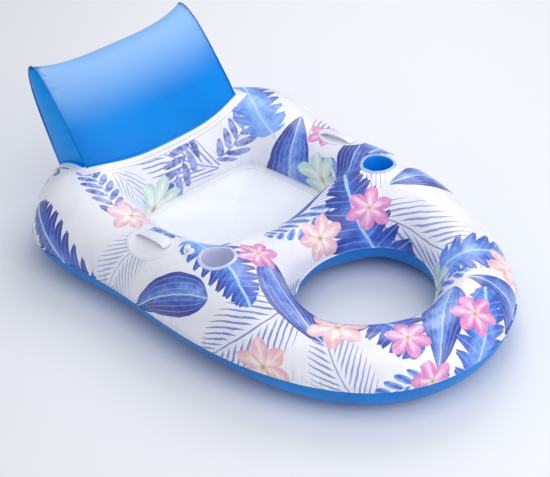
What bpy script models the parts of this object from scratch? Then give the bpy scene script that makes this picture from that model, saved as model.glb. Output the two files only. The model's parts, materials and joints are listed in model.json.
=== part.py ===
"""Inflatable pool chair: a welded PVC ring with a seat, a leg hole, a backrest, cup holders, grips and valves.

Metres. +Z is up, the legs point to -Y, the backrest stands at +Y. The origin is on the floor, under the
middle of the chair. Right and left are the sitter's own: right is -X.
"""
import math

import bmesh
import bpy
import numpy as np
from mathutils import Matrix, Vector
from mathutils.bvhtree import BVHTree

# Film and fits
FILM = 0.0004
TOUCH_GAP = 0.0003
WELD_MARGIN = 0.0006
FLANGE_WIDTH = 0.004
MERGE_DISTANCE = 0.00002
CUT_OVERRUN = 0.06

# Tubes and openings along the chair, front to rear, between their seams
FRONT_TUBE_WIDTH = 0.188
LEG_HALF_LENGTH = 0.172
CROSSBAR_WIDTH = 0.165
SEAT_HALF_LENGTH = 0.169
REAR_TUBE_WIDTH = 0.343
HALF_LENGTH = (FRONT_TUBE_WIDTH + CROSSBAR_WIDTH + REAR_TUBE_WIDTH) / 2 + LEG_HALF_LENGTH + SEAT_HALF_LENGTH
LEG_CENTRE_Y = FRONT_TUBE_WIDTH + LEG_HALF_LENGTH - HALF_LENGTH
SEAT_CENTRE_Y = HALF_LENGTH - REAR_TUBE_WIDTH - SEAT_HALF_LENGTH
REAR_TUBE_Y = HALF_LENGTH - REAR_TUBE_WIDTH / 2

# Across the chair
SEAT_HALF_WIDTH = 0.220
SIDE_TUBE_WIDTH = 0.2465
HALF_WIDTH = SEAT_HALF_WIDTH + SIDE_TUBE_WIDTH
LEG_HALF_WIDTH = 0.192

# Outer seam, seen from above, and the shapes of the two openings
OUTLINE_SHARES = [(0.465, -0.902), (0.803, -0.582), (0.932, -0.118), (0.955, 0.318), (0.995, 0.641)]
SEAT_SQUARENESS = 5.5
SEAT_TAPER_SHARE = -0.071
LEG_SQUARENESS = 1.9
LEG_TAPER_SHARE = 0.1

# Tubes: the seam's height off the floor, and the top's rise as a share of a tube's half width
SEAM_HEIGHT = 0.095
TOP_RISE_SHARE = 0.894
CROSSBAR_ARCH_SHARE = 0.2
FLAT_ANGLE_DEG = 84.0
OUTER_FORK_SHARE = 0.192
SEAT_FORK_SHARE = 0.136
LEG_FORK_SHARE = 0.3505
REAR_STEPS = 30
FRONT_STEPS = 26
CROSSBAR_STEPS = 10
SECTION_STEPS = 5
RIDGE_BLEND_SHARE = 0.22
CROSSBAR_BLEND_SHARE = 0.45

# Seat sheet and the strip that holds it
SEAT_BORDER_WIDTH = 0.022
SEAT_BORDER_THICKNESS = 0.0008
SEAT_SHEET_THICKNESS = 0.0005
SEAT_SHEET_OVERLAP = 0.013
SEAT_SAG = 0.018
SEAT_STEPS = REAR_STEPS + CROSSBAR_STEPS
SEAT_RING_SHARES = [0.97, 0.8, 0.58, 0.32]

# Cup holders
CUP_RADIUS = 0.0415
CUP_FLOOR_RADIUS = 0.038
CUP_DEPTH = 0.076
CUP_RIM_WIDTH = 0.008
CUP_OUTSET = 0.0655
CUP_FORWARD = 0.102
CUP_X = SEAT_HALF_WIDTH + CUP_OUTSET
CUP_Y = SEAT_CENTRE_Y - SEAT_HALF_LENGTH - CUP_FORWARD
CUP_SEGMENTS = 28

# Grips beside the seat
HANDLE_FORWARD = 0.076
HANDLE_X = SEAT_HALF_WIDTH + SIDE_TUBE_WIDTH / 2
HANDLE_Y = SEAT_CENTRE_Y - HANDLE_FORWARD
PAD_HALF_LENGTH = 0.077
PAD_HALF_WIDTH = 0.047
PAD_THICKNESS = 0.0012
PAD_SEGMENTS = 28
GRIP_INBOARD = 0.013
GRIP_LENGTH = 0.122
GRIP_WIDTH = 0.026
GRIP_THICKNESS = 0.003
GRIP_RISE = 0.012
GRIP_CLEARANCE = 0.0009
GRIP_FOOT_LENGTH = 0.010
GRIP_STEPS = 14
GRIP_COLUMNS = 8

# Backrest pillow: a base line on the rear tube, a leaning spine and a rounded top
BACK_OUTSET = 0.048
BACK_BASE_HALF_WIDTH = SEAT_HALF_WIDTH + BACK_OUTSET
BACK_TAPER = 0.007
BACK_SPINE_SETBACK = 0.0285
BACK_SPINE_Y = REAR_TUBE_Y + BACK_SPINE_SETBACK
BACK_SPINE_BOW = 0.0256
REAR_TUBE_TOP = SEAM_HEIGHT + TOP_RISE_SHARE * REAR_TUBE_WIDTH / 2
BACK_SPINE_SINK = 0.0133
BACK_SPINE_HEIGHT = REAR_TUBE_TOP - BACK_SPINE_SINK
BACK_LEAN = 0.1357
BACK_LEAN_MIDDLE = 0.1261
BACK_RISE = 0.214
BACK_TOP_HEIGHT = REAR_TUBE_TOP + BACK_RISE
BACK_TOP_SAG = 0.0289
GUSSET_BASE_HALF_DEPTH = 0.0685
GUSSET_TOP_HALF_DEPTH = 0.045
GUSSET_SQUARENESS = 5.0
PILLOW_HALF_DEPTH = 0.0845
PILLOW_BASE_SHARE = 0.08
PILLOW_WIDEST_SHARE = 0.4
PILLOW_FULLNESS = 3.45
GUSSET_BULGE = 0.010
BACK_WIDTH_STEPS = 20
BACK_SIDE_STEPS = 9
GUSSET_COLUMNS = 4
BASE_PANEL_COLUMNS = 8
BASE_PANEL_ARCH = 0.008
BASE_PANEL_INSET = 0.003
BASE_PANEL_WIDTH_SHARE = 0.985
BASE_PATCH_MARGIN = 0.030
LEAN_LIMIT_DEG = 5.0
LEAN_SPARE_DEG = 3.2
LANDING_REACH_SHARE = 0.6
LANDING_ROUNDS = 40
TRIM_SHARE = 0.12
TRIM_SLOPE_SHARE = 0.3

# Valves: a welded flange, a stem that pushes in, a flap, a plug and its tether
VALVE_FLANGE_RADIUS = 0.0140
VALVE_FLANGE_THICKNESS = 0.0008
STEM_BORE_RADIUS = 0.0045
STEM_WALL = 0.0015
STEM_RISE = 0.014
STEM_DEPTH = 0.012
COLLAR_RADIUS = 0.0080
COLLAR_THICKNESS = 0.002
FLAP_THICKNESS = 0.0006
PLUG_HEAD_THICKNESS = 0.002
PLUG_DEPTH = 0.006
PLUG_BEVEL = 0.0008
TETHER_WIDTH = 0.003
TETHER_THICKNESS = 0.0007
TETHER_REACH = 0.005
VALVE_SEGMENTS = 16
MAIN_VALVE_OUTSET = 0.0295
MAIN_VALVE_SETBACK = 0.072
MAIN_VALVE_X = -CUP_X - MAIN_VALVE_OUTSET
MAIN_VALVE_Y = CUP_Y + MAIN_VALVE_SETBACK
BACK_VALVE_X = 0.150
BACK_VALVE_RISE = 0.058
BACK_VALVE_HEIGHT = REAR_TUBE_TOP + BACK_VALVE_RISE

# Colours, linear RGB, with roughness
FINISHES = {
    "white_print": ((0.83, 0.83, 0.92), 0.28),
    "blue_film": ((0.002, 0.165, 0.52), 0.25),
    "backrest_blue": ((0.0, 0.225, 0.80), 0.22),
    "white_film": ((0.88, 0.88, 0.90), 0.30),
    "seat_white": ((0.90, 0.91, 0.93), 0.50),
    "cup_lilac": ((0.42, 0.45, 0.72), 0.35),
    "cup_blue": ((0.0, 0.13, 0.53), 0.35),
    "clear_white": ((0.80, 0.80, 0.86), 0.35),
    "valve_white": ((0.75, 0.76, 0.80), 0.40),
}


def clear_scene():
    for item in list(bpy.data.objects):
        bpy.data.objects.remove(item, do_unlink=True)


def finish(name):
    if name in bpy.data.materials:
        return bpy.data.materials[name]
    colour, roughness = FINISHES[name]
    made = bpy.data.materials.new(name)
    made.use_nodes = True
    shader = made.node_tree.nodes["Principled BSDF"]
    shader.inputs["Base Color"].default_value = (*colour, 1.0)
    shader.inputs["Roughness"].default_value = roughness
    shader.inputs["Metallic"].default_value = 0.0
    return made


def place_mesh(name, mesh, material=None, origin=Vector((0.0, 0.0, 0.0)), parent=None):
    """Links a mesh given in world coordinates as an object whose origin is the given point."""
    mesh.name = name
    mesh.transform(Matrix.Translation(-origin))
    mesh.shade_smooth()
    item = bpy.data.objects.new(name, mesh)
    bpy.context.scene.collection.objects.link(item)
    item.location = origin
    if parent is not None:
        item.parent = parent
        item.matrix_parent_inverse = Matrix.Translation(-parent.location)
    if material:
        mesh.materials.append(finish(material))
    return item


def axis_empty(name, point):
    item = bpy.data.objects.new(name, None)
    bpy.context.scene.collection.objects.link(item)
    item.location = point
    return item


def mesh_of(shape):
    mesh = bpy.data.meshes.new("shape")
    shape.to_mesh(mesh)
    shape.free()
    return mesh


def hide_as_cutter(item):
    item.hide_render = True
    item.display_type = "WIRE"
    return item


def add_boolean(item, cutter, operation):
    cut = item.modifiers.new(cutter.name, "BOOLEAN")
    cut.object = cutter
    cut.operation = operation
    cut.solver = "EXACT"


def add_thickness(item, thickness):
    wall = item.modifiers.new("wall", "SOLIDIFY")
    wall.thickness = thickness
    wall.offset = -1.0
    wall.use_even_offset = True


# Plan curves
def smooth_closed_curve(points, samples=40):
    """A periodic cubic spline through the points, as a fine polyline."""
    points = np.array(points)
    count = len(points)
    steps = np.linalg.norm(np.roll(points, -1, axis=0) - points, axis=1)
    matrix = np.zeros((count, count))
    target = np.zeros((count, 2))
    for i in range(count):
        before, after = steps[i - 1], steps[i]
        matrix[i, i - 1] += before
        matrix[i, i] += 2 * (before + after)
        matrix[i, (i + 1) % count] += after
        rise = (points[(i + 1) % count] - points[i]) / after
        fall = (points[i] - points[i - 1]) / before
        target[i] = 6 * (rise - fall)
    bend = np.linalg.solve(matrix, target)
    pieces = []
    for i in range(count):
        j = (i + 1) % count
        step = steps[i]
        s = np.linspace(0, step, samples, endpoint=False)[:, None]
        cubic = (bend[i] * (step - s) ** 3 + bend[j] * s ** 3) / (6 * step)
        start = (points[i] / step - bend[i] * step / 6) * (step - s)
        end = (points[j] / step - bend[j] * step / 6) * s
        pieces.append(cubic + start + end)
    return np.concatenate(pieces)


def opening_curve(half_width, half_length, squareness, taper, centre_y, samples=400):
    """A rounded opening that starts at its front and runs round by the sitter's right."""
    angle = np.linspace(0, 2 * np.pi, samples, endpoint=False)
    ahead = np.cos(angle)
    aside = np.sin(angle)
    reach = (abs(ahead) ** squareness + abs(aside) ** squareness) ** (-1 / squareness)
    y = -half_length * reach * ahead
    x = -half_width * reach * aside * (1 + taper * y / half_length)
    return np.stack([x, centre_y + y], axis=1)


class Seam:
    """A closed seam in plan, read by its share of the length, with its way out of the tube."""

    def __init__(self, curve, outward):
        self.curve = np.vstack([curve, curve[:1]])
        run = np.linalg.norm(np.diff(self.curve, axis=0), axis=1)
        self.share = np.concatenate([[0], np.cumsum(run)]) / run.sum()
        self.outward = outward

    def at(self, share, out=0.0):
        point = self.read(share)
        if out:
            near = 0.5 / len(self.share)
            along = self.read(share + near) - self.read(share - near)
            along /= np.linalg.norm(along, axis=-1, keepdims=True)
            side = np.stack([-along[..., 1], along[..., 0]], axis=-1)
            point = point + side * (self.outward * out)
        return point

    def read(self, share):
        share = np.mod(share, 1.0)
        return np.stack([np.interp(share, self.share, self.curve[:, k]) for k in (0, 1)], axis=-1)


def outer_points():
    right = [(-x * HALF_WIDTH, y * HALF_LENGTH) for x, y in OUTLINE_SHARES]
    left = [(-x, y) for x, y in reversed(right)]
    return [(0.0, -HALF_LENGTH), *right, (0.0, HALF_LENGTH), *left]


OUTER = Seam(smooth_closed_curve(outer_points()), 1.0)
SEAT = Seam(opening_curve(SEAT_HALF_WIDTH, SEAT_HALF_LENGTH, SEAT_SQUARENESS, SEAT_TAPER_SHARE,
                          SEAT_CENTRE_Y), -1.0)
LEG = Seam(opening_curve(LEG_HALF_WIDTH, LEG_HALF_LENGTH, LEG_SQUARENESS, LEG_TAPER_SHARE,
                         LEG_CENTRE_Y), -1.0)


def circle_centre(a, b, c):
    """Centre of the circle through three plan points."""
    d = 2 * (a[0] * (b[1] - c[1]) + b[0] * (c[1] - a[1]) + c[0] * (a[1] - b[1]))
    x = ((a @ a) * (b[1] - c[1]) + (b @ b) * (c[1] - a[1]) + (c @ c) * (a[1] - b[1])) / d
    y = ((a @ a) * (c[0] - b[0]) + (b @ b) * (a[0] - c[0]) + (c @ c) * (b[0] - a[0])) / d
    return np.array([x, y])


def tube_bands():
    """The three tubes: rear U, front U and crossbar, which fork beside the cup holders.

    Each is its two seams, their shares, its ridge in plan and its half width along the ridge.
    """
    rear = np.linspace(0, 1, REAR_STEPS + 1)
    front = np.linspace(0, 1, FRONT_STEPS + 1)
    cross = np.linspace(0, 1, CROSSBAR_STEPS + 1)
    pairs = [
        (OUTER, OUTER_FORK_SHARE + rear * (1 - 2 * OUTER_FORK_SHARE),
         SEAT, SEAT_FORK_SHARE + rear * (1 - 2 * SEAT_FORK_SHARE), RIDGE_BLEND_SHARE, 0.0),
        (OUTER, OUTER_FORK_SHARE * (1 - 2 * front),
         LEG, LEG_FORK_SHARE * (1 - 2 * front), RIDGE_BLEND_SHARE, 0.0),
        (SEAT, SEAT_FORK_SHARE * (1 - 2 * cross),
         LEG, LEG_FORK_SHARE + cross * (1 - 2 * LEG_FORK_SHARE), CROSSBAR_BLEND_SHARE, CROSSBAR_ARCH_SHARE),
    ]
    corner = circle_centre(OUTER.at(OUTER_FORK_SHARE), SEAT.at(SEAT_FORK_SHARE), LEG.at(LEG_FORK_SHARE))
    far_corner = corner * np.array([-1, 1])
    corner_radius = np.linalg.norm(corner - OUTER.at(OUTER_FORK_SHARE))
    bands = []
    for seam_a, share_a, seam_b, share_b, blend, arch in pairs:
        a = seam_a.at(share_a)
        b = seam_b.at(share_b)
        t = np.linspace(0, 1, len(a))
        near = np.where(t < blend, 0.5 + 0.5 * np.cos(np.pi * t / blend), 0)
        far = near[::-1]
        middle = (a + b) / 2
        ridge = middle + (corner - middle[0]) * near[:, None] + (far_corner - middle[-1]) * far[:, None]
        half = np.linalg.norm(a - b, axis=1) / 2
        half = half * (1 - near - far) + corner_radius * (near + far)
        lift = arch * np.sin(np.pi * t) ** 2
        bands.append((seam_a, share_a, seam_b, share_b, ridge, half, lift))
    return bands


def ring_sheet(top):
    """One face of the ring as an open sheet: a flange at each seam, and rows up or down to the ridge."""
    side = 1.0 if top else -1.0
    edge = side * (TOUCH_GAP / 2 + FILM)
    if top:
        angles = np.linspace(0, np.pi / 2, SECTION_STEPS + 1)
    else:
        angles = np.append(np.linspace(0, math.radians(FLAT_ANGLE_DEG), SECTION_STEPS), np.pi / 2)
    shape = bmesh.new()
    for seam_a, share_a, seam_b, share_b, ridge, half, lift in tube_bands():
        if top:
            height = TOP_RISE_SHARE * half
        else:
            height = SEAM_HEIGHT / math.sin(math.radians(FLAT_ANGLE_DEG)) * (1 - lift)
        for seam, share in ((seam_a, share_a), (seam_b, share_b)):
            foot = seam.at(share)
            rows = [[(*p, edge) for p in seam.at(share, FLANGE_WIDTH)]]
            for angle in angles:
                plan = foot + (ridge - foot) * (1 - math.cos(angle))
                rise = np.minimum(height * math.sin(angle), height if top else SEAM_HEIGHT * (1 - lift))
                rise = np.maximum(rise, abs(edge))
                rows.append([(*p, side * z) for p, z in zip(plan, rise)])
            verts = [[shape.verts.new((x, y, z + SEAM_HEIGHT)) for x, y, z in row] for row in rows]
            for low, high in zip(verts, verts[1:]):
                for i in range(len(low) - 1):
                    shape.faces.new((low[i], low[i + 1], high[i + 1], high[i]))
    bmesh.ops.remove_doubles(shape, verts=shape.verts, dist=MERGE_DISTANCE)
    bmesh.ops.triangulate(shape, faces=shape.faces)
    bmesh.ops.recalc_face_normals(shape, faces=shape.faces)
    highest = max(shape.faces, key=lambda f: side * f.calc_center_median().z)
    if highest.normal.z * side < 0:
        bmesh.ops.reverse_faces(shape, faces=shape.faces)
    shape.normal_update()
    return shape


def lookup(sheet):
    return BVHTree.FromBMesh(sheet)


def height_on(tree, x, y):
    """Height of the ring's top face over a plan point."""
    hit = tree.ray_cast(Vector((x, y, HALF_LENGTH)), Vector((0, 0, -1)))
    return hit[0].z


# Solids from outlines
def prism(name, outline, frame, depth, hole=None):
    """A cutter: an outline, or a ring between two outlines, run along the frame's Z both ways."""
    shape = bmesh.new()
    loops = []
    for z in (-depth, depth):
        for loop in ((outline,) if hole is None else (outline, hole)):
            loops.append([shape.verts.new(frame @ Vector((x, y, z))) for x, y in loop])
    count = len(outline)
    if hole is None:
        low, high = loops
        shape.faces.new(list(reversed(low)))
        shape.faces.new(high)
        walls = [(low, high)]
    else:
        low, low_hole, high, high_hole = loops
        walls = [(low, high), (high, high_hole), (high_hole, low_hole), (low_hole, low)]
    for first, second in walls:
        for i in range(count):
            j = (i + 1) % count
            shape.faces.new((first[i], first[j], second[j], second[i]))
    bmesh.ops.recalc_face_normals(shape, faces=shape.faces)
    return hide_as_cutter(place_mesh(name, mesh_of(shape)))


def circle_outline(radius, segments, centre=(0.0, 0.0)):
    turns = [2 * math.pi * i / segments for i in range(segments)]
    return [(centre[0] + radius * math.cos(a), centre[1] + radius * math.sin(a)) for a in turns]


def oval_outline(half_width, half_length, segments, centre):
    turns = [2 * math.pi * i / segments for i in range(segments)]
    return [(centre[0] + half_width * math.cos(a), centre[1] + half_length * math.sin(a)) for a in turns]


def raised(sheet, lift):
    """A copy of a sheet moved out along its normals."""
    shape = sheet.copy()
    shape.normal_update()
    moved = [(v, v.co + v.normal * lift) for v in shape.verts]
    for vert, place in moved:
        vert.co = place
    return shape


def patch(name, sheet, near, reach, lift, thickness, cutter, material, parent=None):
    """A piece welded flat on a film: the film's own face, raised by the lift, cut to the cutter."""
    shape = raised(sheet, lift + thickness)
    away = [f for f in shape.faces if min((v.co - near).length for v in f.verts) > reach]
    bmesh.ops.delete(shape, geom=away, context="FACES")
    item = place_mesh(name, mesh_of(shape), material, parent=parent)
    add_thickness(item, thickness)
    add_boolean(item, cutter, "INTERSECT")
    return item


def lathe(profile, segments, frame):
    """A turned solid from a closed profile of (radius, height); zero radii lie on the axis."""
    shape = bmesh.new()
    rings = []
    for radius, z in profile:
        if radius == 0:
            rings.append([shape.verts.new(frame @ Vector((0, 0, z)))])
            continue
        turns = [2 * math.pi * i / segments for i in range(segments)]
        rings.append([shape.verts.new(frame @ Vector((radius * math.cos(a), radius * math.sin(a), z)))
                      for a in turns])
    for first, second in zip(rings, rings[1:] + rings[:1]):
        if len(first) == 1 and len(second) == 1:
            continue
        for i in range(segments):
            j = (i + 1) % segments
            corners = [first[i % len(first)], first[j % len(first)], second[j % len(second)],
                       second[i % len(second)]]
            shape.faces.new(list(dict.fromkeys(corners)))
    bmesh.ops.recalc_face_normals(shape, faces=shape.faces)
    return mesh_of(shape)


def strip_solid(path, half_width, thickness, frame):
    """A flat strap: a path in the frame's XZ plane, given width along Y and thickness across the path."""
    shape = bmesh.new()
    rows = []
    for i, (x, z) in enumerate(path):
        before = path[max(i - 1, 0)]
        after = path[min(i + 1, len(path) - 1)]
        along = Vector((after[0] - before[0], after[1] - before[1])).normalized()
        up = (-along.y * thickness / 2, along.x * thickness / 2)
        corners = [(x + up[0], -half_width, z + up[1]), (x + up[0], half_width, z + up[1]),
                   (x - up[0], half_width, z - up[1]), (x - up[0], -half_width, z - up[1])]
        rows.append([shape.verts.new(frame @ Vector(c)) for c in corners])
    for first, second in zip(rows, rows[1:]):
        for k in range(4):
            m = (k + 1) % 4
            shape.faces.new((first[k], first[m], second[m], second[k]))
    shape.faces.new(list(reversed(rows[0])))
    shape.faces.new(rows[-1])
    bmesh.ops.recalc_face_normals(shape, faces=shape.faces)
    return mesh_of(shape)


# Ring
def make_ring(top_sheet, bottom_sheet, cutters):
    top = place_mesh("ring_top_skin", mesh_of(top_sheet.copy()), "white_print")
    add_thickness(top, FILM)
    for cutter in cutters:
        add_boolean(top, cutter, "DIFFERENCE")
    bottom = place_mesh("ring_bottom_skin", mesh_of(bottom_sheet.copy()), "blue_film")
    add_thickness(bottom, FILM)


# Seat
def seat_loop(inset):
    """The seat seam moved into the opening, at the same steps as the tubes round it."""
    rear = SEAT_FORK_SHARE + np.linspace(0, 1, REAR_STEPS, endpoint=False) * (1 - 2 * SEAT_FORK_SHARE)
    cross = (2 * np.linspace(0, 1, CROSSBAR_STEPS, endpoint=False) - 1) * SEAT_FORK_SHARE
    return SEAT.at(np.concatenate([rear, cross]), inset)


def make_seat():
    border_bottom = SEAM_HEIGHT + TOUCH_GAP / 2 + FILM + TOUCH_GAP
    shape = bmesh.new()
    loops = []
    for inset, z in ((TOUCH_GAP * 2, 0), (SEAT_BORDER_WIDTH, 0), (SEAT_BORDER_WIDTH, SEAT_BORDER_THICKNESS),
                     (TOUCH_GAP * 2, SEAT_BORDER_THICKNESS)):
        loops.append([shape.verts.new((x, y, border_bottom + z)) for x, y in seat_loop(inset)])
    for first, second in zip(loops, loops[1:] + loops[:1]):
        for i in range(SEAT_STEPS):
            j = (i + 1) % SEAT_STEPS
            shape.faces.new((first[i], first[j], second[j], second[i]))
    bmesh.ops.recalc_face_normals(shape, faces=shape.faces)
    place_mesh("seat_border", mesh_of(shape), "white_film")

    shape = bmesh.new()
    sheet_top = border_bottom - TOUCH_GAP
    rim = seat_loop(SEAT_BORDER_WIDTH - SEAT_SHEET_OVERLAP)
    flat = seat_loop(SEAT_BORDER_WIDTH)
    centre = np.array([0.0, SEAT_CENTRE_Y])
    rings = [[(*p, sheet_top) for p in rim], [(*p, sheet_top) for p in flat]]
    for share in SEAT_RING_SHARES:
        drop = SEAT_SAG * (1 - share ** 2)
        rings.append([(*(centre + (p - centre) * share), sheet_top - drop) for p in flat])
    verts = [[shape.verts.new(p) for p in ring] for ring in rings]
    for first, second in zip(verts, verts[1:]):
        for i in range(SEAT_STEPS):
            j = (i + 1) % SEAT_STEPS
            shape.faces.new((first[i], first[j], second[j], second[i]))
    middle = shape.verts.new((*centre, sheet_top - SEAT_SAG))
    for i in range(SEAT_STEPS):
        shape.faces.new((verts[-1][i], verts[-1][(i + 1) % SEAT_STEPS], middle))
    bmesh.ops.recalc_face_normals(shape, faces=shape.faces)
    if sum(f.normal.z for f in shape.faces) < 0:
        bmesh.ops.reverse_faces(shape, faces=shape.faces)
    sheet = place_mesh("seat_sheet", mesh_of(shape), "seat_white")
    add_thickness(sheet, SEAT_SHEET_THICKNESS)


# Cup holders
def cup_frame(side, tree):
    return Matrix.Translation((side * CUP_X, CUP_Y, height_on(tree, side * CUP_X, CUP_Y)))


def make_cup_holder(word, side, tree, top_sheet, material):
    frame = cup_frame(side, tree)
    centre = frame.translation
    wall_radius = CUP_RADIUS - TOUCH_GAP
    inner_radius = wall_radius - FILM
    rim_cutter = prism("cut_cup_rim_" + word, circle_outline(CUP_RADIUS + CUP_RIM_WIDTH, CUP_SEGMENTS),
                       frame, CUT_OVERRUN, circle_outline(inner_radius, CUP_SEGMENTS))
    reach = CUP_RADIUS + CUP_RIM_WIDTH + CUT_OVERRUN
    patch("cup_rim_" + word, top_sheet, centre, reach, WELD_MARGIN, FILM, rim_cutter, material)

    shape = bmesh.new()
    loops = []
    outer = circle_outline(wall_radius, CUP_SEGMENTS, centre[:2])
    inner = circle_outline(inner_radius, CUP_SEGMENTS, centre[:2])
    foot_outer = circle_outline(CUP_FLOOR_RADIUS, CUP_SEGMENTS, centre[:2])
    foot_inner = circle_outline(CUP_FLOOR_RADIUS - FILM, CUP_SEGMENTS, centre[:2])
    floor_z = centre.z - CUP_DEPTH
    for loop, follows in ((outer, True), (inner, True), (foot_inner, False), (foot_outer, False)):
        loops.append([shape.verts.new((x, y, height_on(tree, x, y) if follows else floor_z)) for x, y in loop])
    for first, second in zip(loops, loops[1:] + loops[:1]):
        for i in range(CUP_SEGMENTS):
            j = (i + 1) % CUP_SEGMENTS
            shape.faces.new((first[i], first[j], second[j], second[i]))
    bmesh.ops.recalc_face_normals(shape, faces=shape.faces)
    place_mesh("cup_wall_" + word, mesh_of(shape), material)

    top = floor_z - TOUCH_GAP
    disc = [(0, top), (CUP_FLOOR_RADIUS, top), (CUP_FLOOR_RADIUS, top - FILM), (0, top - FILM)]
    place_mesh("cup_floor_" + word, lathe(disc, CUP_SEGMENTS, Matrix.Translation((*centre[:2], 0))), material)


# Grips
def make_handle(word, side, tree, top_sheet):
    centre = Vector((side * HANDLE_X, HANDLE_Y, height_on(tree, side * HANDLE_X, HANDLE_Y)))
    frame = Matrix.Translation((0, 0, centre.z))
    outline = oval_outline(PAD_HALF_WIDTH, PAD_HALF_LENGTH, PAD_SEGMENTS, centre[:2])
    cutter = prism("cut_pad_" + word, outline, frame, CUT_OVERRUN)
    reach = PAD_HALF_LENGTH + CUT_OVERRUN
    patch("handle_pad_" + word, top_sheet, centre, reach, WELD_MARGIN, PAD_THICKNESS, cutter, "clear_white")

    pad_tree = lookup(raised(top_sheet, WELD_MARGIN + PAD_THICKNESS))
    half = GRIP_LENGTH / 2
    arch = half - GRIP_FOOT_LENGTH
    shape = bmesh.new()
    rows = []
    for i in range(GRIP_STEPS + 1):
        along = -half + GRIP_LENGTH * i / GRIP_STEPS
        inside = max(0.0, 1 - (along / arch) ** 2)
        rise = GRIP_CLEARANCE + GRIP_RISE * math.sqrt(inside)
        under = []
        for k in range(GRIP_COLUMNS + 1):
            x = centre.x - side * GRIP_INBOARD + GRIP_WIDTH * (k / GRIP_COLUMNS - 0.5)
            y = centre.y + along
            under.append(Vector((x, y, height_on(pad_tree, x, y) + rise)))
        over = [p + Vector((0, 0, GRIP_THICKNESS)) for p in reversed(under)]
        rows.append([shape.verts.new(p) for p in under + over])
    loop = len(rows[0])
    for first, second in zip(rows, rows[1:]):
        for k in range(loop):
            m = (k + 1) % loop
            shape.faces.new((first[k], first[m], second[m], second[k]))
    for row in (rows[0], rows[-1]):
        for k in range(GRIP_COLUMNS):
            shape.faces.new((row[k], row[k + 1], row[loop - 2 - k], row[loop - 1 - k]))
    bmesh.ops.recalc_face_normals(shape, faces=shape.faces)
    place_mesh("handle_grip_" + word, mesh_of(shape), "clear_white")


# Backrest
def spine(across):
    """Base and top of the leaning spine in the YZ plane, at a share of the half width."""
    middle = 1 - abs(across) ** PILLOW_FULLNESS
    top_y = BACK_SPINE_Y + BACK_LEAN + (BACK_LEAN_MIDDLE - BACK_LEAN) * middle
    top_z = BACK_TOP_HEIGHT - BACK_TOP_SAG * middle
    base_y = BACK_SPINE_Y - BACK_SPINE_BOW * middle
    return Vector((base_y, BACK_SPINE_HEIGHT)), Vector((top_y, top_z)), middle


def half_depth(up, middle):
    """Half the pillow's depth at a share of the spine: a tongue at the gussets, rounder in the middle."""
    rise = min(max(up, 0.0), 1.0)
    tongue = GUSSET_BASE_HALF_DEPTH + (GUSSET_TOP_HALF_DEPTH - GUSSET_BASE_HALF_DEPTH) * rise
    tongue *= math.sqrt(1 - rise ** GUSSET_SQUARENESS)
    if up > PILLOW_WIDEST_SHARE:
        far = min((up - PILLOW_WIDEST_SHARE) / (1 - PILLOW_WIDEST_SHARE), 1.0)
        full = PILLOW_HALF_DEPTH * math.sqrt(1 - far ** 2)
    else:
        far = (PILLOW_WIDEST_SHARE - up) / PILLOW_WIDEST_SHARE
        full = PILLOW_HALF_DEPTH * (1 - PILLOW_BASE_SHARE * far ** 2)
    return tongue + (full - tongue) * middle


def pillow_point(across, up, face, inset=0.0):
    """A point of the pillow: face is -1 on the front and +1 on the rear."""
    base, top, middle = spine(across)
    along = top - base
    out = Vector((along.y, -along.x)).normalized() * face
    along *= 1 - inset / along.length
    place = base + along * up + out * max(half_depth(up, middle) - inset, 0.0)
    half_width = BACK_BASE_HALF_WIDTH - BACK_TAPER * min(max(up, 0), 1)
    return Vector((across * half_width, place.x, place.y))


def heel_room(y):
    """Room that grows behind the lean axis, so that the pillow's heel can bed down."""
    return max(0.0, y - REAR_TUBE_Y) * math.tan(math.radians(LEAN_LIMIT_DEG + LEAN_SPARE_DEG))


def base_lift(y):
    return 2 * WELD_MARGIN + FILM + heel_room(y)


def landing(across, face, tree, inset=0.0):
    """Share of the spine at which a face of the pillow comes down to the ring."""
    low, high = -LANDING_REACH_SHARE, LANDING_REACH_SHARE
    for _ in range(LANDING_ROUNDS):
        up = (low + high) / 2
        point = pillow_point(across, up, face, inset)
        if point.z > height_on(tree, point.x, point.y) + base_lift(point.y):
            high = up
        else:
            low = up
    return high


def width_share(i):
    """Place of a column of the pillow, from -1 at the right gusset to +1 at the left one."""
    return math.sin(math.pi / 2 * (2 * i / BACK_WIDTH_STEPS - 1))


def side_shares(start):
    """Shares of the spine from a landing to the top, closer together at the rounded top."""
    return [start + (1 - start) * math.sin(math.pi / 2 * i / BACK_SIDE_STEPS)
            for i in range(BACK_SIDE_STEPS + 1)]


def pillow_section(across, tree, inset=0.0):
    """Front from below the ring's face up, over the top and down the rear; the trim block cuts its foot."""
    sides = []
    for face in (-1, 1):
        start = landing(across, face, tree, inset) - TRIM_SHARE
        sides.append([pillow_point(across, up, face, inset) for up in side_shares(start)])
    return sides[0][:-1] + sides[1][::-1]


def make_trim_block(top_sheet):
    """The room under the pillow: the top of the rear tube, raised by the lift and run down."""
    shape = raised(top_sheet, 2 * WELD_MARGIN + FILM)
    spare = [f for f in shape.faces
             if f.normal.z < TRIM_SLOPE_SHARE or f.calc_center_median().y < SEAT_CENTRE_Y]
    bmesh.ops.delete(shape, geom=spare, context="FACES")
    for vert in shape.verts:
        vert.co.z += heel_room(vert.co.y)
    made = bmesh.ops.extrude_face_region(shape, geom=shape.faces[:])
    lowered = [item for item in made["geom"] if isinstance(item, bmesh.types.BMVert)]
    bmesh.ops.translate(shape, verts=lowered, vec=(0, 0, -SEAM_HEIGHT))
    bmesh.ops.recalc_face_normals(shape, faces=shape.faces)
    return hide_as_cutter(place_mesh("cut_backrest_foot", mesh_of(shape)))


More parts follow.
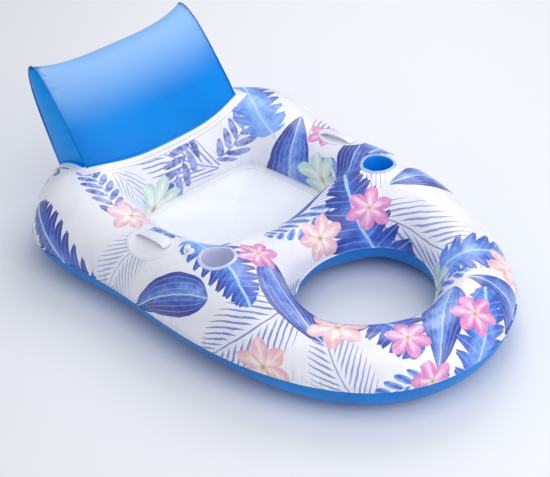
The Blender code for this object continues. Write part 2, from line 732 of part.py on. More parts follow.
def make_cover_sheet(tree):
    shape = bmesh.new()
    columns = []
    for i in range(BACK_WIDTH_STEPS + 1):
        across = width_share(i)
        columns.append([shape.verts.new(p) for p in pillow_section(across, tree)])
    for first, second in zip(columns, columns[1:]):
        for k in range(len(first) - 1):
            shape.faces.new((first[k], first[k + 1], second[k + 1], second[k]))
    bmesh.ops.triangulate(shape, faces=shape.faces)
    bmesh.ops.recalc_face_normals(shape, faces=shape.faces)
    highest = max(shape.faces, key=lambda f: f.calc_center_median().z)
    if highest.normal.z < 0:
        bmesh.ops.reverse_faces(shape, faces=shape.faces)
    shape.normal_update()
    return shape


def make_gusset(word, side, tree, parent, origin, trim_block):
    inset = FILM + TOUCH_GAP
    section = pillow_section(side, tree, inset)
    count = BACK_SIDE_STEPS
    shape = bmesh.new()
    rows = []
    for i in range(count):
        front = section[i]
        rear = section[-1 - i]
        height = math.sqrt(math.sin(math.pi * (i + 0.5) / (count + 0.5)))
        row = []
        for k in range(GUSSET_COLUMNS + 1):
            share = k / GUSSET_COLUMNS
            place = front.lerp(rear, share)
            bulge = GUSSET_BULGE * height * math.sin(math.pi * share)
            place.x += side * (bulge - inset)
            row.append(shape.verts.new(place))
        rows.append(row)
    tip = shape.verts.new(section[count] - Vector((side * inset, 0, 0)))
    for first, second in zip(rows, rows[1:]):
        for k in range(GUSSET_COLUMNS):
            shape.faces.new((first[k], first[k + 1], second[k + 1], second[k]))
    for k in range(GUSSET_COLUMNS):
        shape.faces.new((rows[-1][k], rows[-1][k + 1], tip))
    bmesh.ops.recalc_face_normals(shape, faces=shape.faces)
    if sum(f.normal.x for f in shape.faces) * side < 0:
        bmesh.ops.reverse_faces(shape, faces=shape.faces)
    item = place_mesh("backrest_gusset_" + word, mesh_of(shape), "backrest_blue", origin, parent)
    add_thickness(item, FILM)
    add_boolean(item, trim_block, "DIFFERENCE")


def make_base_panel(tree, parent, origin):
    """The film that closes the pillow underneath."""
    shape = bmesh.new()
    columns = []
    for i in range(BACK_WIDTH_STEPS + 1):
        across = width_share(i) * BASE_PANEL_WIDTH_SHARE
        front = pillow_point(across, landing(across, -1, tree), -1)
        rear = pillow_point(across, landing(across, 1, tree), 1)
        column = []
        for k in range(BASE_PANEL_COLUMNS + 1):
            share = k / BASE_PANEL_COLUMNS
            y = front.y + BASE_PANEL_INSET + (rear.y - front.y - 2 * BASE_PANEL_INSET) * share
            z = height_on(tree, front.x, y) + base_lift(y) + 2 * WELD_MARGIN
            z += BASE_PANEL_ARCH * math.sqrt(max(math.sin(math.pi * share), 0.0))
            column.append(shape.verts.new((front.x, y, z)))
        columns.append(column)
    for first, second in zip(columns, columns[1:]):
        for k in range(BASE_PANEL_COLUMNS):
            shape.faces.new((first[k], first[k + 1], second[k + 1], second[k]))
    bmesh.ops.recalc_face_normals(shape, faces=shape.faces)
    if sum(f.normal.z for f in shape.faces) < 0:
        bmesh.ops.reverse_faces(shape, faces=shape.faces)
    item = place_mesh("backrest_base_panel", mesh_of(shape), "backrest_blue", origin, parent)
    add_thickness(item, FILM)


def base_patch_outline(tree):
    """The pillow's footprint on the ring, with the weld margin round it."""
    front, rear = [], []
    for i in range(BACK_WIDTH_STEPS + 1):
        across = width_share(i)
        low = pillow_point(across, landing(across, -1, tree), -1)
        high = pillow_point(across, landing(across, 1, tree), 1)
        stretch = 1 + BASE_PATCH_MARGIN / BACK_BASE_HALF_WIDTH * abs(across)
        front.append((low.x * stretch, low.y - BASE_PATCH_MARGIN))
        rear.append((high.x * stretch, high.y + BASE_PATCH_MARGIN / 2))
    return front + rear[::-1]


def make_backrest(tree, top_sheet, parent, origin, valve_cutter):
    cover_sheet = make_cover_sheet(tree)
    cover = place_mesh("backrest_cover", mesh_of(cover_sheet.copy()), "backrest_blue", origin, parent)
    add_thickness(cover, FILM)
    add_boolean(cover, valve_cutter, "DIFFERENCE")
    trim_block = make_trim_block(top_sheet)
    add_boolean(cover, trim_block, "DIFFERENCE")
    for word, side in (("right", -1), ("left", 1)):
        make_gusset(word, side, tree, parent, origin, trim_block)
    make_base_panel(tree, parent, origin)
    frame = Matrix.Translation((0, 0, BACK_SPINE_HEIGHT))
    cutter = prism("cut_base_patch", base_patch_outline(tree), frame, 2 * CUT_OVERRUN)
    patch("backrest_base_patch", top_sheet, origin, HALF_WIDTH, WELD_MARGIN, FILM, cutter, "white_film")
    return cover_sheet


# Valves
def valve_frame(point, normal, aside):
    """Z out of the film, X to the side on which the tether lies."""
    z = normal.normalized()
    y = z.cross(aside).normalized()
    x = y.cross(z)
    frame = Matrix((x, y, z)).transposed().to_4x4()
    frame.translation = point
    return frame


def stem_radius():
    return STEM_BORE_RADIUS + STEM_WALL


def make_valve(word, frame, sheet, parent):
    origin = frame.translation.copy()
    hole = circle_outline(stem_radius() + TOUCH_GAP, VALVE_SEGMENTS)
    rim = circle_outline(VALVE_FLANGE_RADIUS, VALVE_SEGMENTS)
    cutter = prism("cut_flange_" + word, rim, frame, STEM_DEPTH, hole)
    reach = VALVE_FLANGE_RADIUS + CUT_OVERRUN
    patch(word + "_valve_flange", sheet, origin, reach, WELD_MARGIN, VALVE_FLANGE_THICKNESS, cutter,
          "valve_white", parent)

    stem_axis = axis_empty(word + "_valve_axis", origin)
    collar_low = STEM_RISE - COLLAR_THICKNESS
    stem = [(STEM_BORE_RADIUS, -STEM_DEPTH), (STEM_BORE_RADIUS, STEM_RISE), (COLLAR_RADIUS, STEM_RISE),
            (COLLAR_RADIUS, collar_low), (stem_radius(), collar_low), (stem_radius(), -STEM_DEPTH)]
    place_mesh(word + "_valve_stem", lathe(stem, VALVE_SEGMENTS, frame), "valve_white", origin, stem_axis)

    flap_top = -STEM_DEPTH - TOUCH_GAP
    flap = [(0, flap_top), (stem_radius(), flap_top), (stem_radius(), flap_top - FLAP_THICKNESS),
            (0, flap_top - FLAP_THICKNESS)]
    hinge = frame @ Vector((-stem_radius(), 0, flap_top))
    place_mesh(word + "_valve_flap", lathe(flap, VALVE_SEGMENTS, frame), "valve_white", hinge, stem_axis)

    seat = STEM_RISE + TOUCH_GAP
    head = seat + PLUG_HEAD_THICKNESS
    shank = STEM_BORE_RADIUS - TOUCH_GAP
    plug = [(0, seat - PLUG_DEPTH), (shank - PLUG_BEVEL, seat - PLUG_DEPTH),
            (shank, seat - PLUG_DEPTH + PLUG_BEVEL), (shank, seat), (COLLAR_RADIUS, seat),
            (COLLAR_RADIUS, head - PLUG_BEVEL), (COLLAR_RADIUS - PLUG_BEVEL, head), (0, head)]
    place_mesh(word + "_valve_plug", lathe(plug, VALVE_SEGMENTS, frame), "valve_white", origin, stem_axis)

    inner = COLLAR_RADIUS + TOUCH_GAP
    high = seat + (PLUG_HEAD_THICKNESS - PLUG_BEVEL) / 2
    low = STEM_RISE - COLLAR_THICKNESS / 2
    out = inner + TETHER_REACH
    bend = out - (high - low) / 2
    path = [(inner, high), (bend, high), (out, (high + low) / 2), (bend, low), (inner, low)]
    strap = strip_solid(path, TETHER_WIDTH / 2, TETHER_THICKNESS, frame)
    place_mesh(word + "_valve_tether", strap, "valve_white", origin, stem_axis)
    return stem_axis


def main():
    clear_scene()
    top_sheet = ring_sheet(True)
    bottom_sheet = ring_sheet(False)
    tree = lookup(top_sheet)

    cutters = []
    for word, side in (("right", -1), ("left", 1)):
        frame = cup_frame(side, tree)
        outline = circle_outline(CUP_RADIUS, CUP_SEGMENTS)
        cutters.append(prism("cut_cup_" + word, outline, frame, CUT_OVERRUN))

    stem_hole = circle_outline(stem_radius() + TOUCH_GAP, VALVE_SEGMENTS)
    above = Vector((MAIN_VALVE_X, MAIN_VALVE_Y, HALF_LENGTH))
    point, normal, _, _ = tree.ray_cast(above, Vector((0, 0, -1)))
    main_frame = valve_frame(point, normal, Vector((-1, 0, 0)))
    cutters.append(prism("cut_main_stem", stem_hole, main_frame, STEM_DEPTH))
    make_ring(top_sheet, bottom_sheet, cutters)
    make_seat()
    make_cup_holder("right", -1, tree, top_sheet, "cup_lilac")
    make_cup_holder("left", 1, tree, top_sheet, "cup_blue")
    for word, side in (("right", -1), ("left", 1)):
        make_handle(word, side, tree, top_sheet)

    axis_height = height_on(tree, 0.0, REAR_TUBE_Y)
    lean_axis = axis_empty("backrest_lean_axis", Vector((0, REAR_TUBE_Y, axis_height)))
    cover_tree = lookup(make_cover_sheet(tree))
    behind = Vector((BACK_VALVE_X, HALF_LENGTH + CUT_OVERRUN, BACK_VALVE_HEIGHT))
    point, normal, _, _ = cover_tree.ray_cast(behind, Vector((0, -1, 0)))
    back_frame = valve_frame(point, normal, Vector((1, 0, 0)))
    back_hole = prism("cut_backrest_stem", stem_hole, back_frame, STEM_DEPTH)
    cover_sheet = make_backrest(tree, top_sheet, lean_axis, lean_axis.location.copy(), back_hole)

    make_valve("main", main_frame, top_sheet, None)
    back_axis = make_valve("backrest", back_frame, cover_sheet, lean_axis)
    back_axis.parent = lean_axis
    back_axis.matrix_parent_inverse = Matrix.Translation(-lean_axis.location)


main()
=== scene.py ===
"""Looks of the inflatable pool chair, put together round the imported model.

Metres, +Z up. The legs point to -Y and the backrest stands at +Y. Right and left are the sitter's own.
"""
import json
import math

import bmesh
import bpy
import numpy as np
from mathutils import Matrix, Vector
from mathutils.bvhtree import BVHTree


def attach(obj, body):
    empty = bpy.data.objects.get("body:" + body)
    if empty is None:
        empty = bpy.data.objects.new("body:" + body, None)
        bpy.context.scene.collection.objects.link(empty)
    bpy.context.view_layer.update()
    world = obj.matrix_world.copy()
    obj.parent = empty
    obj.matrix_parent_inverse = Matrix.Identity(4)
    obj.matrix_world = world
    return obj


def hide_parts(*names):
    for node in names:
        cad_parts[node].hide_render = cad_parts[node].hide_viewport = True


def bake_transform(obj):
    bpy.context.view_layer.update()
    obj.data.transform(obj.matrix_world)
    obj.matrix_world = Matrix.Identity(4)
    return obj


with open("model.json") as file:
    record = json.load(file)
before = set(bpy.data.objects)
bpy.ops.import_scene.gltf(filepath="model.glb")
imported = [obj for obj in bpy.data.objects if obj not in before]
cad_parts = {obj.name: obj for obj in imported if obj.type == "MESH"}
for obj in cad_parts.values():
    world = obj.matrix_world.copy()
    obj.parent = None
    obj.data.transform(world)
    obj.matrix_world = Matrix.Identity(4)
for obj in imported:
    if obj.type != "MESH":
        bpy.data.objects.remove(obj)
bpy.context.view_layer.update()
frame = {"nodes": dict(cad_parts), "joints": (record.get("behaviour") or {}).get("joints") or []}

bpy.ops.object.select_all(action="DESELECT")


# Ring chamber
# Two sheets of vinyl film, printed white above and dyed blue below, are cut flat and welded to each other
# along the outer seam, round the seat opening and round the leg hole. Pumped up, they swell to three tubes
# that fork beside the cup wells, and the spare length at the outer weld gathers into small puckers.
SEAM_HEIGHT = 0.095
FILM = 0.0004
FRONT_TUBE_WIDTH = 0.188
LEG_HALF_LENGTH = 0.172
CROSSBAR_WIDTH = 0.165
SEAT_HALF_LENGTH = 0.169
REAR_TUBE_WIDTH = 0.343
HALF_LENGTH = (FRONT_TUBE_WIDTH + CROSSBAR_WIDTH + REAR_TUBE_WIDTH) / 2 + LEG_HALF_LENGTH + SEAT_HALF_LENGTH
LEG_CENTRE_Y = FRONT_TUBE_WIDTH + LEG_HALF_LENGTH - HALF_LENGTH
SEAT_CENTRE_Y = HALF_LENGTH - REAR_TUBE_WIDTH - SEAT_HALF_LENGTH
REAR_TUBE_Y = HALF_LENGTH - REAR_TUBE_WIDTH / 2
SEAT_HALF_WIDTH = 0.220
SIDE_TUBE_WIDTH = 0.2465
HALF_WIDTH = SEAT_HALF_WIDTH + SIDE_TUBE_WIDTH
LEG_HALF_WIDTH = 0.192
SEAT_SQUARENESS = 5.5
SEAT_TAPER_SHARE = -0.071
LEG_SQUARENESS = 1.9
LEG_TAPER_SHARE = 0.1
OUTLINE_SHARES = [(0.465, -0.902), (0.803, -0.582), (0.932, -0.118), (0.955, 0.318), (0.995, 0.641)]
TOP_RISE_SHARE = 0.894
FLAT_ANGLE_DEG = 84.0
OUTER_FORK_SHARE = 0.192
SEAT_FORK_SHARE = 0.136
LEG_FORK_SHARE = 0.3505
FLANGE_WIDTH = 0.004


def smooth_closed_curve(points, samples=160):
    """A periodic cubic spline through plan points."""
    points = np.array(points)
    count = len(points)
    steps = np.linalg.norm(np.roll(points, -1, axis=0) - points, axis=1)
    matrix = np.zeros((count, count))
    target = np.zeros((count, 2))
    for i in range(count):
        before, after = steps[i - 1], steps[i]
        matrix[i, i - 1] += before
        matrix[i, i] += 2 * (before + after)
        matrix[i, (i + 1) % count] += after
        target[i] = 6 * ((points[(i + 1) % count] - points[i]) / after - (points[i] - points[i - 1]) / before)
    bend = np.linalg.solve(matrix, target)
    pieces = []
    for i in range(count):
        j = (i + 1) % count
        step = steps[i]
        s = np.linspace(0, step, samples, endpoint=False)[:, None]
        cubic = (bend[i] * (step - s) ** 3 + bend[j] * s ** 3) / (6 * step)
        pieces.append(cubic + (points[i] / step - bend[i] * step / 6) * (step - s)
                      + (points[j] / step - bend[j] * step / 6) * s)
    return np.concatenate(pieces)


def opening_curve(half_width, half_length, squareness, taper, centre_y, samples=1600):
    """A rounded opening that starts at its front and runs round by the sitter's right."""
    angle = np.linspace(0, 2 * np.pi, samples, endpoint=False)
    ahead, aside = np.cos(angle), np.sin(angle)
    reach = (abs(ahead) ** squareness + abs(aside) ** squareness) ** (-1 / squareness)
    y = -half_length * reach * ahead
    x = -half_width * reach * aside * (1 + taper * y / half_length)
    return np.stack([x, centre_y + y], axis=1)


class Seam:
    """A closed weld in plan, read by its share of the length; out is the way off the tube."""

    def __init__(self, curve, outward):
        self.curve = np.vstack([curve, curve[:1]])
        run = np.linalg.norm(np.diff(self.curve, axis=0), axis=1)
        self.length = run.sum()
        self.share = np.concatenate([[0], np.cumsum(run)]) / self.length
        self.outward = outward

    def read(self, share):
        share = np.mod(share, 1.0)
        return np.stack([np.interp(share, self.share, self.curve[:, k]) for k in (0, 1)], axis=-1)

    def at(self, share, out=0.0):
        near = 1 / len(self.share)
        along = self.read(share + near) - self.read(share - near)
        along /= np.linalg.norm(along, axis=-1, keepdims=True)
        side = np.stack([-along[..., 1], along[..., 0]], axis=-1)
        return self.read(share) + side * (self.outward * np.asarray(out)[..., None])


right_side = [(-x * HALF_WIDTH, y * HALF_LENGTH) for x, y in OUTLINE_SHARES]
left_side = [(-x, y) for x, y in reversed(right_side)]
OUTER = Seam(smooth_closed_curve([(0.0, -HALF_LENGTH), *right_side, (0.0, HALF_LENGTH), *left_side]), 1.0)
SEAT = Seam(opening_curve(SEAT_HALF_WIDTH, SEAT_HALF_LENGTH, SEAT_SQUARENESS, SEAT_TAPER_SHARE,
                          SEAT_CENTRE_Y), -1.0)
LEG = Seam(opening_curve(LEG_HALF_WIDTH, LEG_HALF_LENGTH, LEG_SQUARENESS, LEG_TAPER_SHARE,
                         LEG_CENTRE_Y), -1.0)


def circle_centre(a, b, c):
    """The centre of the circle through three points of the plan."""
    d = 2 * (a[0] * (b[1] - c[1]) + b[0] * (c[1] - a[1]) + c[0] * (a[1] - b[1]))
    x = ((a @ a) * (b[1] - c[1]) + (b @ b) * (c[1] - a[1]) + (c @ c) * (a[1] - b[1])) / d
    y = ((a @ a) * (c[0] - b[0]) + (b @ b) * (a[0] - c[0]) + (c @ c) * (b[0] - a[0])) / d
    return np.array([x, y])


COLUMN_PITCH = 0.0023
FORK_BLEND_SHARE = 0.22
CROSSBAR_BLEND_SHARE = 0.45
CROSSBAR_ARCH_SHARE = 0.2
TUBES = [
    (OUTER, OUTER_FORK_SHARE, 1 - OUTER_FORK_SHARE, SEAT, SEAT_FORK_SHARE, 1 - SEAT_FORK_SHARE,
     FORK_BLEND_SHARE, 0.0),
    (OUTER, OUTER_FORK_SHARE, -OUTER_FORK_SHARE, LEG, LEG_FORK_SHARE, -LEG_FORK_SHARE,
     FORK_BLEND_SHARE, 0.0),
    (SEAT, SEAT_FORK_SHARE, -SEAT_FORK_SHARE, LEG, LEG_FORK_SHARE, 1 - LEG_FORK_SHARE,
     CROSSBAR_BLEND_SHARE, CROSSBAR_ARCH_SHARE),
]


def tube_bands():
    """Rear U, front U and crossbar: two seams with their shares, the ridge in plan, half width and arch."""
    corner = circle_centre(OUTER.read(OUTER_FORK_SHARE), SEAT.read(SEAT_FORK_SHARE), LEG.read(LEG_FORK_SHARE))
    far_corner = corner * np.array([-1, 1])
    corner_radius = np.linalg.norm(corner - OUTER.read(OUTER_FORK_SHARE))
    for seam_a, a0, a1, seam_b, b0, b1, blend, arch in TUBES:
        count = int(abs(a1 - a0) * seam_a.length / COLUMN_PITCH)
        t = np.linspace(0, 1, count + 1)
        share_a, share_b = a0 + (a1 - a0) * t, b0 + (b1 - b0) * t
        a, b = seam_a.read(share_a), seam_b.read(share_b)
        near = np.where(t < blend, 0.5 + 0.5 * np.cos(np.pi * t / blend), 0)
        far = near[::-1]
        middle = (a + b) / 2
        ridge = middle + (corner - middle[0]) * near[:, None] + (far_corner - middle[-1]) * far[:, None]
        half = np.linalg.norm(a - b, axis=1) / 2
        half = half * (1 - near - far) + corner_radius * (near + far)
        yield seam_a, share_a, seam_b, share_b, ridge, half, arch * np.sin(np.pi * t) ** 2


PUCKER_PITCH = 0.0105
PUCKER_WIDTH = 0.0022
PUCKER_DEPTH = 0.0019
PUCKER_SHORTEST = 0.010
PUCKER_LONGEST = 0.050
PUCKER_START = 0.004
PUCKER_SPREAD = 0.02
PUCKER_FADE = 1.4
PUCKER_SHALLOWEST_SHARE = 0.25
PUCKER_SHORT_ONES = 2.5
PUCKER_SHIFT_SHARE = 0.32
PUCKER_SLANT = 0.12


class Puckers:
    """Small creases square to a weld, at uneven steps along it, each with its own depth and reach."""

    def __init__(self, length, pitch, depth, seed):
        rng = np.random.default_rng(seed)
        count = int(length / pitch)
        self.length = length
        shift = rng.uniform(-PUCKER_SHIFT_SHARE, PUCKER_SHIFT_SHARE, count)
        self.place = (np.arange(count) + shift) * length / count
        self.depth = depth * rng.uniform(PUCKER_SHALLOWEST_SHARE, 1.0, count)
        length_share = rng.random(count) ** PUCKER_SHORT_ONES
        self.reach = PUCKER_SHORTEST + (PUCKER_LONGEST - PUCKER_SHORTEST) * length_share
        self.lean = rng.uniform(-PUCKER_SLANT, PUCKER_SLANT, count)

    def sink(self, s, t):
        """How far the film dips at a run s along the weld and a distance t from it."""
        total = np.zeros(np.broadcast(s, t).shape)
        for place, depth, reach, lean in zip(self.place, self.depth, self.reach, self.lean):
            gap = (s - place - lean * t + self.length / 2) % self.length - self.length / 2
            columns = np.where(abs(gap).min(axis=0) < 3 * PUCKER_WIDTH + abs(lean) * PUCKER_LONGEST)[0]
            if len(columns) == 0:
                continue
            gap, away = gap[:, columns], t[:, columns]
            rise = np.clip(away / PUCKER_START, 0, 1)
            fade = np.clip(1 - away / reach, 0, 1) ** PUCKER_FADE
            width = PUCKER_WIDTH * (1 + away / PUCKER_SPREAD)
            total[:, columns] += depth * rise * fade * np.exp(-(gap / width) ** 2)
        return total

    def wave(self, s):
        """Up and down of the weld itself, in step with the puckers."""
        gap = (s[:, None] - self.place + self.length / 2) % self.length - self.length / 2
        return -(self.depth / self.depth.max() * np.exp(-(gap / (2 * PUCKER_WIDTH)) ** 2)).sum(axis=1)


PUCKERS = {
    id(OUTER): Puckers(OUTER.length, PUCKER_PITCH, PUCKER_DEPTH, seed=11),
    id(SEAT): Puckers(SEAT.length, 2.2 * PUCKER_PITCH, 0.6 * PUCKER_DEPTH, seed=12),
    id(LEG): Puckers(LEG.length, 2.4 * PUCKER_PITCH, 0.45 * PUCKER_DEPTH, seed=13),
}


FLANGE_WAVE = 0.0010
WAVE_REACH = 0.012
CALM_COLUMNS = 8
ROW_CROWDING = 1.25


def half_tube(seam, share, ridge, half, lift, top, rows):
    """A tube's film from its weld to its ridge: points, where each lay in the flat sheet, and how deep the
    puckers are there, from 0 to 1.
    """
    columns = np.arange(len(share))
    from_fork = np.clip(np.minimum(columns, columns[::-1]) / CALM_COLUMNS, 0, 1)
    side = 1.0 if top else -1.0
    foot = seam.read(share)
    run = np.mod(share, 1.0) * seam.length
    waves = PUCKERS[id(seam)].wave(run) * FLANGE_WAVE
    if top:
        height = limit = TOP_RISE_SHARE * half
    else:
        limit = SEAM_HEIGHT * (1 - lift)
        height = SEAM_HEIGHT / math.sin(math.radians(FLAT_ANGLE_DEG)) * (1 - lift)
    angles = np.pi / 2 * np.linspace(0, 1, rows + 1) ** ROW_CROWDING
    plan = foot + (ridge - foot) * (1 - np.cos(angles))[:, None, None]
    rise = np.minimum(height * np.sin(angles)[:, None], limit)
    rise[0] = FILM / 2
    points = np.concatenate([plan, (SEAM_HEIGHT + side * rise)[..., None]], axis=-1)
    away = np.concatenate([np.zeros((1, len(share))),
                           np.cumsum(np.linalg.norm(np.diff(points, axis=0), axis=-1), axis=0)])
    across = np.gradient(points, axis=0)
    along = np.gradient(points, axis=1)
    normal = np.cross(along, across)
    normal /= np.linalg.norm(normal, axis=-1, keepdims=True)
    centre = np.concatenate([ridge, np.full((len(ridge), 1), SEAM_HEIGHT)], axis=-1)
    normal *= np.sign(((points - centre) * normal).sum(axis=-1, keepdims=True))
    dip = PUCKERS[id(seam)].sink(np.broadcast_to(run, away.shape), away) * from_fork
    points -= normal * dip[..., None]
    points[..., 2] += waves * np.clip(1 - away / WAVE_REACH, 0, 1)
    lip_height = SEAM_HEIGHT + side * FILM / 2 + waves
    lip = np.column_stack([seam.at(share, FLANGE_WIDTH + waves), lip_height])
    closed = lip.copy()
    closed[:, 2] -= side * FILM / 2
    points = np.concatenate([closed[None], lip[None], points])
    dip = np.concatenate([dip[:1], dip[:1], dip])
    outward = (foot - ridge) / np.linalg.norm(foot - ridge, axis=1, keepdims=True)
    flat = ridge + outward * (away[-1] - away)[..., None]
    edge = ridge + outward * (away[-1] + FLANGE_WIDTH)[:, None]
    return points, np.concatenate([edge[None], edge[None], flat]), dip / PUCKER_DEPTH


def grid_sheet(name, points, flat):
    """A grid primitive whose points take the places given, with the flat cut kept as its UV map."""
    rows, columns = points.shape[:2]
    bpy.ops.mesh.primitive_grid_add(x_subdivisions=columns - 1, y_subdivisions=rows - 1, size=1)
    item = bpy.context.object
    item.name = name
    mesh = item.data
    mesh.vertices.foreach_set("co", points.reshape(-1, 3).astype(np.float32).ravel())
    loops = np.zeros(len(mesh.loops), np.int32)
    mesh.loops.foreach_get("vertex_index", loops)
    mesh.uv_layers[0].name = "flat_cut"
    mesh.uv_layers[0].data.foreach_set("uv", flat.reshape(-1, 2)[loops].astype(np.float32).ravel())
    return item


def mark_creases(item, depth):
    """Keeps the depth of the creases, 0 to 1, at each point, for the shade that is painted along them."""
    kept = item.data.attributes.new("crease", "FLOAT", "POINT")
    kept.data.foreach_set("value", np.clip(depth, 0, 1).astype(np.float32).ravel())


def weld_up(item, reach):
    """Points that lie within reach of one another are merged, and the faces are turned to one side."""
    bpy.ops.object.mode_set(mode="EDIT")
    bpy.ops.mesh.select_all(action="SELECT")
    bpy.ops.mesh.remove_doubles(threshold=reach)
    bpy.ops.mesh.normals_make_consistent(inside=False)
    bpy.ops.object.mode_set(mode="OBJECT")
    bpy.ops.object.shade_smooth()
    item.select_set(False)


def film_halves(top, rows):
    """The half tubes of one skin, one by one."""
    for seam_a, share_a, seam_b, share_b, ridge, half, lift in tube_bands():
        for seam, share in ((seam_a, share_a), (seam_b, share_b)):
            yield half_tube(seam, share, ridge, half, lift, top, rows)


def ring_skin(name, halves, upward):
    """One sheet from its half tubes: welded where they meet, with its face turned up or down."""
    strips = []
    for points, flat, dip in halves:
        strips.append(grid_sheet(name, points, flat))
        mark_creases(strips[-1], dip)
    bpy.ops.object.select_all(action="DESELECT")
    for strip in strips:
        strip.select_set(True)
    bpy.context.view_layer.objects.active = strips[0]
    bpy.ops.object.join()
    skin = bpy.context.object
    skin.name = name
    skin.data.name = name
    weld_up(skin, reach=0.00002)
    highest = max(skin.data.polygons, key=lambda p: p.center.z * (1 if upward else -1))
    if (highest.normal.z > 0) != upward:
        skin.data.flip_normals()
    return skin


def sign(operation, turned_round=False):
    """What a sign between sockets or numbers does: it adds the Math node of that operation."""
    def reckon(self, *others):
        values = (*others, self) if turned_round else (self, *others)
        return self.finish.node("ShaderNodeMath", {"operation": operation}, values)
    return reckon


class Wire:
    """A socket that is reckoned with as a number is."""

    def __init__(self, finish, socket):
        self.finish = finish
        self.socket = socket

    def also(self, output):
        return Wire(self.finish, self.socket.node.outputs[output])

    __add__ = __radd__ = sign("ADD")
    __sub__ = sign("SUBTRACT")
    __rsub__ = sign("SUBTRACT", turned_round=True)
    __mul__ = __rmul__ = sign("MULTIPLY")
    __truediv__ = sign("DIVIDE")
    __pow__ = sign("POWER")
    __mod__ = sign("FLOORED_MODULO")
    __abs__ = sign("ABSOLUTE")
    __lt__ = sign("LESS_THAN")
    __gt__ = sign("GREATER_THAN")


class Finish:
    """One material, its nodes added in the order in which the colour is worked up."""

    def __init__(self, name):
        self.material = bpy.data.materials.new(name)
        self.material.use_nodes = True
        self.tree = self.material.node_tree
        self.tree.nodes.clear()
        self.place = self.node("ShaderNodeTexCoord", output="Object")

    def node(self, kind, settings=None, sockets=(), output=0):
        made = self.tree.nodes.new(kind)
        for key, value in (settings or {}).items():
            if key == "stops":
                for _ in value[2:]:
                    made.color_ramp.elements.new(0.5)
                for element, (place, colour) in zip(made.color_ramp.elements, value):
                    element.position = place
                    element.color = colour
            else:
                setattr(made, key, value)
        for key, value in sockets.items() if isinstance(sockets, dict) else enumerate(sockets):
            if isinstance(value, Wire):
                self.tree.links.new(value.socket, made.inputs[key])
            else:
                made.inputs[key].default_value = value
        return Wire(self, made.outputs[output]) if made.outputs else made

    def larger(self, one, other):
        return self.node("ShaderNodeMath", {"operation": "MAXIMUM"}, [one, other])

    def above_zero(self, value):
        return self.larger(value, 0.0001)

    def vector(self, operation, one, other):
        return self.node("ShaderNodeVectorMath", {"operation": operation}, [one, other])

    def colour(self, factor, under, over, blend="MIX"):
        settings = {"data_type": "RGBA", "blend_type": blend}
        return self.node("ShaderNodeMix", settings, {0: factor, 6: under, 7: over}, 2)

    def ramp(self, factor, *stops):
        settings = {"stops": [(place, srgb(tone)) for place, tone in stops]}
        return self.node("ShaderNodeValToRGB", settings, [factor])

    def rise(self, value, low, high):
        """0 below low, 1 above high and smooth between."""
        settings = {"interpolation_type": "SMOOTHSTEP"}
        return self.node("ShaderNodeMapRange", settings, [value, low, high, 0.0, 1.0])

    def noise(self, place, scale, detail=3.0, roughness=0.5):
        return self.node("ShaderNodeTexNoise", {}, {"Vector": place, "Scale": scale, "Detail": detail,
                                                    "Roughness": roughness})

    def bumps(self, height, distance, strength=1.0, under=None):
        sockets = {"Height": height, "Distance": distance, "Strength": strength}
        if under:
            sockets["Normal"] = under
        return self.node("ShaderNodeBump", {}, sockets)

    def creased(self, film_colour, share, fold_shade):
        """Painted shade: the colour turned towards a darker one along the creases, where the film falls into
        shade.
        """
        crease = self.node("ShaderNodeAttribute", {"attribute_name": "crease"}, output="Fac")
        return self.colour(crease * share, film_colour, srgb(fold_shade))

    def film(self, **sockets):
        """Ends the finish in a Principled shader with these sockets, and returns the material."""
        names = {key.replace("_", " ").title().replace("Ior", "IOR"): value for key, value in sockets.items()}
        shader = self.node("ShaderNodeBsdfPrincipled", {}, names)
        self.node("ShaderNodeOutputMaterial", {}, {"Surface": shader})
        return self.material


def srgb(text):
    """A colour as painters write it, turned to the renderer's linear scale."""
    parts = [int(text[i:i + 2], 16) / 255 for i in (0, 2, 4)]
    return (*[c / 12.92 if c <= 0.04045 else ((c + 0.055) / 1.055) ** 2.4 for c in parts], 1.0)


def dress(item, body, node, slot, material):
    """The piece rides a body, stands in for a solid and takes its finish."""
    if body:
        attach(item, body)
    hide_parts(node)
    item.data.materials.clear()
    item.data.materials.append(material)


# The print's motifs are strewn over the flat cut by chance, the largest kinds first. Each kind has its number
# of motifs, the range of their half lengths, of their half widths as shares, and its room to other kinds.
MOTIFS = {
    "torn_leaves": (11, (0.15, 0.19), (0.62, 0.72), 0.62),
    "arched_leaves": (9, (0.12, 0.16), (0.46, 0.55), 0.62),
    "slim_sprigs": (12, (0.14, 0.18), (0.5, 0.6), 0.45),
    "round_sprigs": (9, (0.11, 0.14), (0.42, 0.5), 0.45),
    "blossoms": (18, (0.048, 0.066), (1.0, 1.0), 0.0),
}
MOTIF_SEED = 5
MOTIF_WANDER = 0.01
MOTIF_MARGIN_SHARE = 1.2
HIDDEN_HALF_WIDTH = 0.25
HIDDEN_FRONT = 0.44
HIDDEN_REAR = 0.62
BLOSSOM_TINTS = [0.1, 0.2, 0.3]
BLOSSOM_SWELL = 1.2
FAR_OFF = 9.0


def clearance(one, other):
    """How far apart two motifs lie, as a share of the room that they take along the line between them."""
    reach = (other[0] - one[0], other[1] - one[1])
    room = 0.0
    for _, _, turn, length, width, _ in (one, other):
        lean = math.atan2(reach[1], reach[0]) - math.radians(turn)
        room += length * width / math.hypot(width * math.cos(lean), length * math.sin(lean))
    return math.hypot(*reach) / room


